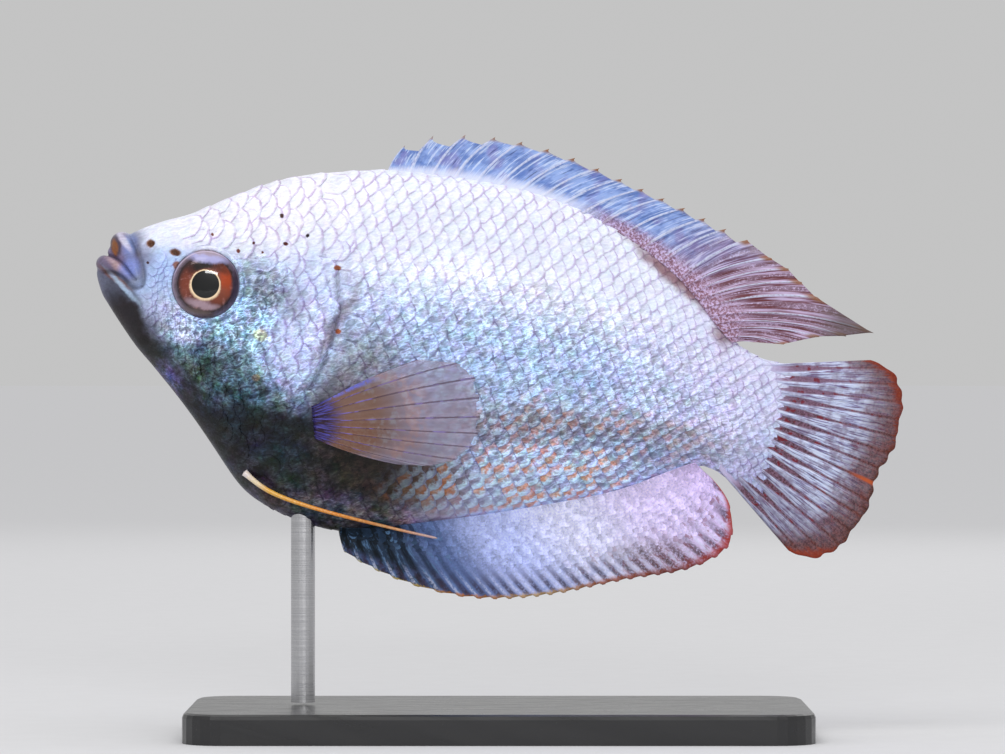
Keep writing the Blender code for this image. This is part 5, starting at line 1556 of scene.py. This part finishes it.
def dorsal_fin_grid():
    """The dorsal fin, with its notched spines in front and soft rays behind."""
    rays = DORSAL_SPINES + DORSAL_SOFT_RAYS
    numbers = ray_numbers(rays, DORSAL_COLUMNS)
    shares = np.linspace(0, 1, FIN_ROWS)
    first, last_spine, last = DORSAL_ROOTS
    soft_step = (last - last_spine) / DORSAL_SOFT_RAYS
    roots = list(np.linspace(first, last_spine, DORSAL_SPINES))
    roots += [last_spine + soft_step * (i + 1) for i in range(DORSAL_SOFT_RAYS)]
    spine_tip = path_through(SPINE_TIP_NUMBERS, SPINE_TIPS)
    tips = np.vstack([spine_tip(np.arange(DORSAL_SPINES)), SOFT_TIPS])

    def middle(number, share):
        root = np.interp(number, range(rays), roots)
        foot = np.stack([root, back(root) - 0.45], -1)
        tip = np.stack([np.interp(number, range(rays), tips[:, k]) for k in (0, 1)], -1)
        along, up = bowed(foot, tip, share, np.interp(number, (0, 8, 18), (0.07, 0.05, 0.06)))
        sway = 0.5 * np.sin(number / rays * 5.0) * share
        return stacked(along, sway + pleats(number, share), up)

    def front(number):
        first_share = np.maximum(0, 1 - number / 4)
        return np.where(number < DORSAL_SPINES, 0.13 + 0.4 * first_share, 0.02)

    def rear(number):
        return np.where(number < DORSAL_SPINES - 1, 0.03, 0.01)

    plain = thinning(0.17, 0.5, 0.14)

    def half(number, share):
        return plain(share, ridges(number, share, 0.09))

    reach = notched(numbers, front, rear, 0.06, 0.4)
    return fin_bmesh(numbers, shares, middle, straight_aside, half, reach)


def anal_fin_grid():
    """The long anal fin, with short points on its front rays."""
    numbers = ray_numbers(ANAL_RAYS, ANAL_COLUMNS)
    shares = np.linspace(0, 1, FIN_ROWS)
    edge = path_through(ANAL_EDGE_SHARES, ANAL_EDGE)

    def middle(number, share):
        part = number / (ANAL_RAYS - 1)
        root = ANAL_ROOTS[0] + (ANAL_ROOTS[1] - ANAL_ROOTS[0]) * part
        foot = np.stack([root, belly(root) + 0.5], -1)
        along, up = bowed(foot, edge(part), share, -0.03)
        sway = -0.45 * np.sin(part * 6.0) * share
        return stacked(along, sway + pleats(number, share, 0.9 * PLEAT), up)

    plain = thinning(0.16, 1.0, 0.2)

    def half(number, share):
        return plain(share, ridges(number, share, 0.16) * smooth_step(share, 0.2, 0.8))

    def front(number):
        return np.interp(number, (0, 5, 12, 29), (0.1, 0.04, 0.025, 0.02))

    def rear(number):
        return np.interp(number, (0, 5, 29), (0.03, 0.01, 0.006))

    reach = notched(numbers, front, rear, 0.15, 0.8)
    return fin_bmesh(numbers, shares, middle, straight_aside, half, reach)


def tail_fin_grid():
    """The tail fin, a fan of rays that split once, with a scalloped rim."""
    numbers = ray_numbers(TAIL_RAYS, TAIL_COLUMNS)
    shares = np.linspace(0, 1, TAIL_ROWS)
    centre_along, centre_up = TAIL_FAN_CENTRE
    top, low = TAIL_ANGLES

    def middle(number, share):
        part = number / (TAIL_RAYS - 1)
        angle = top + (low - top) * part
        ahead, above = np.cos(angle), np.sin(angle)
        stalk, lean = STALK_END
        start = (stalk - 1.2 + lean * centre_up - centre_along) / (ahead - lean * above)
        corner = 3.6 * np.abs(2 * part - 1) ** 8
        notch = 0.7 * np.exp(-(((part - 0.5) / 0.07) ** 2))
        ragged = 0.08 * np.sin(number * 2.9) + 0.05 * np.sin(number * 7.3 + 1.0)
        distance = start + (TAIL_RADIUS - corner - notch + ragged - start) * share
        sway = 1.3 * share**2 * np.sin(part * 2.6 + 0.4)
        aside = sway + pleats(number, share)
        return stacked(centre_along + ahead * distance, aside, centre_up + above * distance)

    plain = thinning(0.15, 0.0, 1.0)

    def half(number, share):
        place = middle(number, share * 0)
        root = np.maximum(plain_width(place[..., 0]) * 0.42 - 0.2, 0)
        crest = ridges(number, share, 0.16, TAIL_SPLIT, 0.2) * smooth_step(share, 0.05, 0.3)
        return plain(share, crest) + root * np.exp(-share / 0.2)

    return fin_bmesh(numbers, shares, middle, straight_aside, half, scalloped(numbers + 0.5, 0.012))


def pectoral_fin_grid(flank):
    """A pectoral fin, which steps off the flank and then spreads from it."""
    numbers = ray_numbers(PECTORAL_RAYS, PECTORAL_COLUMNS)
    shares = np.concatenate([np.linspace(0, 0.14, 9), np.linspace(0.17, 1, 26)])  # closer at the bend
    edge = path_through(PECTORAL_EDGE_SHARES, PECTORAL_EDGE)
    top, low = np.array(PECTORAL_BASE)

    def course(number, share):
        part = number / (PECTORAL_RAYS - 1)
        root = top + (low - top) * part[..., None]
        along, up = bowed(root, edge(part), share, 0.03 * (1 - 2 * part))
        distance = np.hypot(along - root[..., 0], up - root[..., 1])
        turned = 1 - np.exp(-distance / PECTORAL_TURN)
        start = half_width(root[..., 0], root[..., 1])
        slope = PECTORAL_STEP / PECTORAL_TURN * (1 - turned) + math.tan(PECTORAL_SPREAD)
        aside = start - 0.15 + (PECTORAL_STEP + 0.3) * turned + distance * math.tan(PECTORAL_SPREAD)
        return along, aside, up, slope

    def middle(number, share):
        along, aside, up, _ = course(number, share)
        wave = 0.1 * np.sin(number * 2 * math.pi) * share
        return stacked(along, flank * (aside + wave), up)

    def across(number, share):
        _, _, _, slope = course(number, share)
        length = np.hypot(1, slope)
        return stacked(-slope / length, flank / length, 0 * slope)

    plain = thinning(0.1, 0.3, 0.1, 0.16)

    def half(number, share):
        return plain(share, ridges(number, share, 0.1, 0.3, 0.12))

    def dip(number):
        return np.full(np.shape(number), 0.02)

    return fin_bmesh(numbers, shares, middle, across, half, notched(numbers, dip, dip, 0.16))


def fin_scales(context, faces, template):
    """Tiny scales over the anal fin's fleshy foot, on both its faces."""
    sizes_set = context.scene.gourami_sizes
    shape = (0.02, 0.35 * sizes_set.scale_lift / MM, sizes_set.scale_thickness / MM, SCALE_ARC)
    for side, sign in SIDES.items():
        rng = np.random.default_rng(71 + sign)
        number, share, length = anal_foot_rows(rng)
        face = faces[side]
        place = face.at(number, share)
        lie = face.at(number + 0.12, share + 0.04) - place
        sizes = np.stack([length, 0.5 * length], -1) * rng.normal(1, 0.12, (len(length), 1))
        turned = Surface(face.alongs, face.acrosses, face.points, flipped=is_turned(face, sign))
        points = lay_plates(turned, stacked(number, share), lie, sizes, shape, template)
        ray_map = stacked(number / RAY_MAP_LENGTH, share, 0 * share)
        values = {"rays": ("FLOAT_VECTOR", ray_map), "tint": ("FLOAT", rng.random(len(number)))}
        upside = np.full(len(number), -sign)
        turn = np.where(sign < 0, -1.0, 3.0) + 0.001 * sign * share
        name, bake = "anal_foot_scales_" + side, unwrap(place[:, 0], turn)
        plates_piece(name, points, template, finish("anal granules"), bake, upside, values)


def is_turned(face, sign):
    """Whether the cross product of a fin face's two directions points into the fin."""
    middle = len(face.alongs) // 2
    _, _, normal = face.slopes(face.alongs[middle : middle + 1], face.acrosses[5:6])
    return bool(normal[0, 1] * sign < 0)


def anal_foot_rows(rng):
    """The places and lengths of the tiny scales, as ray numbers and shares of a ray."""
    steps, rows = lattice(84, (0, 17))
    number = 1.0 + (steps + rng.normal(0, 0.16, len(steps))) * 0.32
    grow = np.interp(number, (0, 6, 18, 28), (0.7, 0.9, 1.2, 1.2))
    share = 0.005 + (rows + rng.normal(0, 0.14, len(rows))) * 0.044 * grow
    last = np.interp(number, (0, 5, 10, 16, 28), (0.2, 0.34, 0.62, 0.74, 0.66))
    good = (number < ANAL_RAYS - 1.5) & (share + rng.normal(0, 0.05, len(share)) < last)
    number, share, last = number[good], share[good], last[good]
    return number, share, np.interp(share / last, (0, 0.5, 1), (0.9, 0.7, 0.45))


# What a user can change.


class GouramiSizes(bpy.types.PropertyGroup):
    coat_depth: bpy.props.FloatProperty(
        name="Coat depth",
        description="How far the skin lies inside the solids under the scales",
        default=0.14 * MM,
        unit="LENGTH",
    )
    scale_lift: bpy.props.FloatProperty(
        name="Scale lift",
        description="How far the rear edge of a scale stands above its root",
        default=0.14 * MM,
        unit="LENGTH",
    )
    scale_thickness: bpy.props.FloatProperty(
        name="Scale thickness",
        description="Thickness of one scale",
        default=0.035 * MM,
        unit="LENGTH",
    )
    camera_distance: bpy.props.FloatProperty(
        name="Camera distance",
        description="Distance from the camera to the middle of the fish",
        default=0.5,
        unit="LENGTH",
    )


class GouramiColours(bpy.types.PropertyGroup):
    floor: bpy.props.FloatVectorProperty(
        name="Floor",
        description="Colour of the plain floor",
        subtype="COLOR",
        default=tone(216, 216, 218)[:3],
    )
    background: bpy.props.FloatVectorProperty(
        name="Background",
        description="Colour behind the model",
        subtype="COLOR",
        default=tone(255, 255, 255)[:3],
    )


GROUPS = {
    "fish markings": make_markings_group,
    "iridescent speckle": make_speckle_group,
    "fin rays": make_ray_group,
}
FINISHES = {
    "moist skin": skin_look,
    "scales": scale_look,
    "wet eye": eye_look,
    "dorsal membrane": dorsal_look,
    "anal membrane": anal_look,
    "anal granules": granule_look,
    "tail membrane": tail_look,
    "pectoral membrane": pectoral_look,
    "feeler thread": feeler_look,
    "satin black acrylic": base_look,
    "brushed steel": rod_look,
}
SKIN = {}


def finish(name):
    """A finish, made when it is first asked for."""
    return bpy.data.materials.get(name) or new_material(name, FINISHES[name])


def skin_surface(context):
    """The skin as a surface and its crevices, worked out when first asked for."""
    if not SKIN:
        alongs, turns, points, crevices = skin_grid(context.scene.gourami_sizes.coat_depth / MM)
        SKIN.update(surface=Surface(alongs, turns, points, closed=True), crevices=crevices)
    return SKIN["surface"], SKIN["crevices"]


class GOURAMI_OT_skin(bpy.types.Operator):
    """Make one skin over the head, gill covers, trunk and tail stalk."""

    bl_idname = "gourami.skin"
    bl_label = "Skin"

    def execute(self, context):
        surface, crevices = skin_surface(context)
        bake = unwrap(surface.alongs[:, None], surface.acrosses[None, :])
        bm = warped_grid(surface.points, {"OFBake": bake}, {"crevice": crevices})
        nodes = ("head", "torso", "tail_stalk", "gill_cover_left", "gill_cover_right")
        add_piece("skin", bm, finish("moist skin"), nodes)
        return {"FINISHED"}


class GOURAMI_OT_scales(bpy.types.Operator):
    """Lay overlapping scales over the skin, in joined meshes."""

    bl_idname = "gourami.scales"
    bl_label = "Scales"

    def execute(self, context):
        surface, _ = skin_surface(context)
        arcs = ring_arcs(surface)
        template = plate_template(4, 4)
        for name, rows, seed, slot in (
            ("trunk_scales", trunk_rows, 11, "body_skin"),
            ("nape_scales", nape_rows, 23, "head_skin"),
            ("cheek_scales", cheek_rows, 37, "head_skin"),
            ("gill_cover_scales", cover_rows, 53, "gill_skin"),
        ):
            build_coat(context, name, surface, arcs, rows, seed, template, finish("scales"))
        return {"FINISHED"}


class GOURAMI_OT_eyes(bpy.types.Operator):
    """Make the eyeballs and the skin rims round them."""

    bl_idname = "gourami.eyes"
    bl_label = "Eyes"

    def execute(self, context):
        level = float(half_width(*[np.array(value) for value in EYE_PLACE]))
        spread = EYE_RADIUS + EYE_SPREAD
        for side, sign in SIDES.items():
            bm = bmesh.new()
            bmesh.ops.create_uvsphere(bm, u_segments=72, v_segments=48, radius=1.0)
            for vert in bm.verts:
                x, y, z = vert.co
                radius = min(math.hypot(x, y), 1.0)
                bulge = math.copysign((1 - radius**EYE_FULLNESS) ** (1 / EYE_FULLNESS), z)
                aside = sign * (level + EYE_PROUD - EYE_DEPTH + EYE_DEPTH * bulge)
                vert.co = (EYE_PLACE[0] + x * spread, aside, EYE_PLACE[1] + y * spread)
            bmesh.ops.recalc_face_normals(bm, faces=bm.faces)
            add_piece("eyeball_" + side, bm, finish("wet eye"), ("eye_" + side,))
        self.make_rims()
        return {"FINISHED"}

    def make_rims(self):
        """Thin folds of skin that close on the eyeballs."""
        around = np.linspace(0, 2 * math.pi, RIM_SEGMENTS[0] + 1)[:, None]
        about = np.linspace(0, 2 * math.pi, RIM_SEGMENTS[1] + 1)[None, :]
        seat, sunk = RIM_SEAT
        radius = RIM_RADIUS + RIM_HALF_WIDTH * np.cos(about)
        along = EYE_PLACE[0] + radius * np.cos(around)
        up = EYE_PLACE[1] + radius * np.sin(around)
        level = half_width(EYE_PLACE[0] + seat * np.cos(around), EYE_PLACE[1] + seat * np.sin(around))
        aside = level - sunk + RIM_HEIGHT * np.sin(about)
        girth = np.interp(up, (-15, 15), (-1, 1))
        for side, sign in SIDES.items():
            bake = unwrap(along, girth if sign < 0 else 2 - girth)
            points = stacked(along, sign * aside, up)
            bm = warped_grid(points, {"OFBake": bake}, {"crevice": 0 * along})
            add_piece("eye_rim_" + side, bm, finish("moist skin"))


class GOURAMI_OT_fins(bpy.types.Operator):
    """Make the dorsal, anal, tail and pectoral fins, and the tiny scales on the anal fin's foot."""

    bl_idname = "gourami.fins"
    bl_label = "Fins"

    def execute(self, context):
        grids = {"dorsal": dorsal_fin_grid, "anal": anal_fin_grid, "tail": tail_fin_grid}
        for name, grid in grids.items():
            bm, faces = grid()
            add_piece(f"rayed_{name}_fin", bm, finish(name + " membrane"), (name + "_fin",))
            if name == "anal":
                fin_scales(context, faces, plate_template(2, 3))
        for side, sign in SIDES.items():
            bm, _ = pectoral_fin_grid(sign)
            name = "pectoral_fin_" + side
            add_piece("rayed_" + name, bm, finish("pectoral membrane"), (name,))
        return {"FINISHED"}


class GOURAMI_OT_feelers(bpy.types.Operator):
    """Make the pair of thread-like pelvic feelers."""

    bl_idname = "gourami.feelers"
    bl_label = "Feelers"

    def execute(self, context):
        path = path_through(np.linspace(0, 1, len(FEELER_PATH)), FEELER_PATH)
        shares = np.linspace(0, 1, FEELER_SEGMENTS[0] + 1)
        turns = np.linspace(0, 2 * math.pi, FEELER_SEGMENTS[1] + 1)
        along, up = path(shares).T
        run = np.gradient(path(shares), axis=0)
        run = run / np.linalg.norm(run, axis=1, keepdims=True)
        swelling, swelling_end = FEELER_SWELLING
        thick = FEELER_RADII[0] + (FEELER_RADII[1] - FEELER_RADII[0]) * shares
        thick = thick * np.sqrt(np.clip((1 - shares) / 0.02, 0, 1))
        thick = thick * (1 + swelling * np.exp(-shares / swelling_end))
        thick[0] = 0
        flank = np.maximum(half_width(along, up), 0.85)
        rooted = np.maximum(0, 1 - shares / FEELER_ROOT)
        aside = flank + FEELER_GAP * (1 - rooted) + (thick - 0.2) * rooted
        ring_aside = aside[:, None] + thick[:, None] * np.cos(turns)
        ring_up = thick[:, None] * np.sin(turns)
        ring_along = along[:, None] - run[:, 1:2] * ring_up
        thread = stacked(shares[:, None], turns[None, :] / (2 * math.pi))
        for side, sign in SIDES.items():
            points = stacked(ring_along, sign * ring_aside, up[:, None] + run[:, :1] * ring_up)
            bm = warped_grid(points, {"thread": thread})
            add_piece("feeler_" + side, bm, finish("feeler thread"), ("pelvic_feeler_" + side,))
        return {"FINISHED"}


class GOURAMI_OT_stand(bpy.types.Operator):
    """Give the stand's base and rod their finishes."""

    bl_idname = "gourami.stand"
    bl_label = "Stand finishes"

    def execute(self, context):
        for node, name in (("stand_base", "satin black acrylic"), ("stand_rod", "brushed steel")):
            for slot in bpy.data.objects[node].material_slots:
                slot.material = finish(name)
        return {"FINISHED"}


class GOURAMI_OT_stage(bpy.types.Operator):
    """Make the floor, the lights and the camera."""

    bl_idname = "gourami.stage"
    bl_label = "Stage"

    def execute(self, context):
        colours = context.scene.gourami_colours
        bm = bmesh.new()
        bmesh.ops.create_circle(bm, cap_ends=True, segments=96, radius=FLOOR_RADIUS)
        mesh = bpy.data.meshes.new("floor")
        bm.to_mesh(mesh)
        bm.free()
        floor = bpy.data.objects.new("floor", mesh)
        context.scene.collection.objects.link(floor)
        mesh.materials.append(new_material("matt floor", self.floor_look))

        world = bpy.data.worlds.new("studio")
        world.use_nodes = True
        light_sockets = world.node_tree.nodes["Background"].inputs
        light_sockets["Color"].default_value = (*colours.background, 1.0)
        light_sockets["Strength"].default_value = WORLD_LIGHT
        context.scene.world = world
        for name, kind, place, power, width, height in LIGHTS:
            light = bpy.data.lights.new(name, kind)
            light.energy = power
            if kind == "SUN":
                light.angle = width
            else:
                light.shape = "RECTANGLE"
                light.size = width
                light.size_y = height
            lamp = bpy.data.objects.new(name, light)
            context.scene.collection.objects.link(lamp)
            lamp.location = place
            lamp.rotation_euler = (TARGET - lamp.location).to_track_quat("-Z", "Y").to_euler()

        camera_data = bpy.data.cameras.new("camera")
        camera = bpy.data.objects.new("camera", camera_data)
        context.scene.collection.objects.link(camera)
        distance = context.scene.gourami_sizes.camera_distance
        camera_data.sensor_width = SENSOR_WIDTH
        camera_data.lens = SENSOR_WIDTH * distance / FRAME_WIDTH
        camera_data.clip_start = 0.01
        camera.location = TARGET + Vector((0, -distance, 0))
        camera.rotation_euler = (math.pi / 2, 0, 0)
        context.scene.camera = camera
        context.scene.view_settings.view_transform = "Standard"
        return {"FINISHED"}

    def floor_look(self, nodes, _):
        """A matt, faintly mottled floor."""
        colour = (*bpy.context.scene.gourami_colours.floor, 1.0)
        grain = nodes.noise(nodes.add("ShaderNodeTexCoord", out=3), 0.004, 3.0)
        shade = nodes.grey(nodes.ease(grain, 0.3, 0.7, 0.985, 1.0))
        return dict(Base_Color=nodes.tinted(colour, shade), Roughness=1.0, Specular_IOR_Level=0.0)


class GOURAMI_PT_model(bpy.types.Panel):
    """The steps of the model, in their order."""

    bl_label = "Dwarf gourami"
    bl_space_type = "VIEW_3D"
    bl_region_type = "UI"
    bl_category = "Gourami"

    def draw(self, context):
        layout = self.layout
        for group in (context.scene.gourami_sizes, context.scene.gourami_colours):
            for key in group.__annotations__:
                layout.prop(group, key)
        for operator in OPERATORS:
            layout.operator(operator.bl_idname)


OPERATORS = (
    GOURAMI_OT_skin,
    GOURAMI_OT_scales,
    GOURAMI_OT_eyes,
    GOURAMI_OT_fins,
    GOURAMI_OT_feelers,
    GOURAMI_OT_stand,
    GOURAMI_OT_stage,
)
CLASSES = (GouramiSizes, GouramiColours, *OPERATORS, GOURAMI_PT_model)


def register():
    for entry in CLASSES:
        bpy.utils.register_class(entry)
    bpy.types.Scene.gourami_sizes = bpy.props.PointerProperty(type=GouramiSizes)
    bpy.types.Scene.gourami_colours = bpy.props.PointerProperty(type=GouramiColours)


def unregister():
    del bpy.types.Scene.gourami_sizes
    del bpy.types.Scene.gourami_colours
    for entry in reversed(CLASSES):
        bpy.utils.unregister_class(entry)


def main():
    register()
    for operator in OPERATORS:
        family, name = operator.bl_idname.split(".")
        getattr(getattr(bpy.ops, family), name)()


if __name__ == "__main__":
    main()
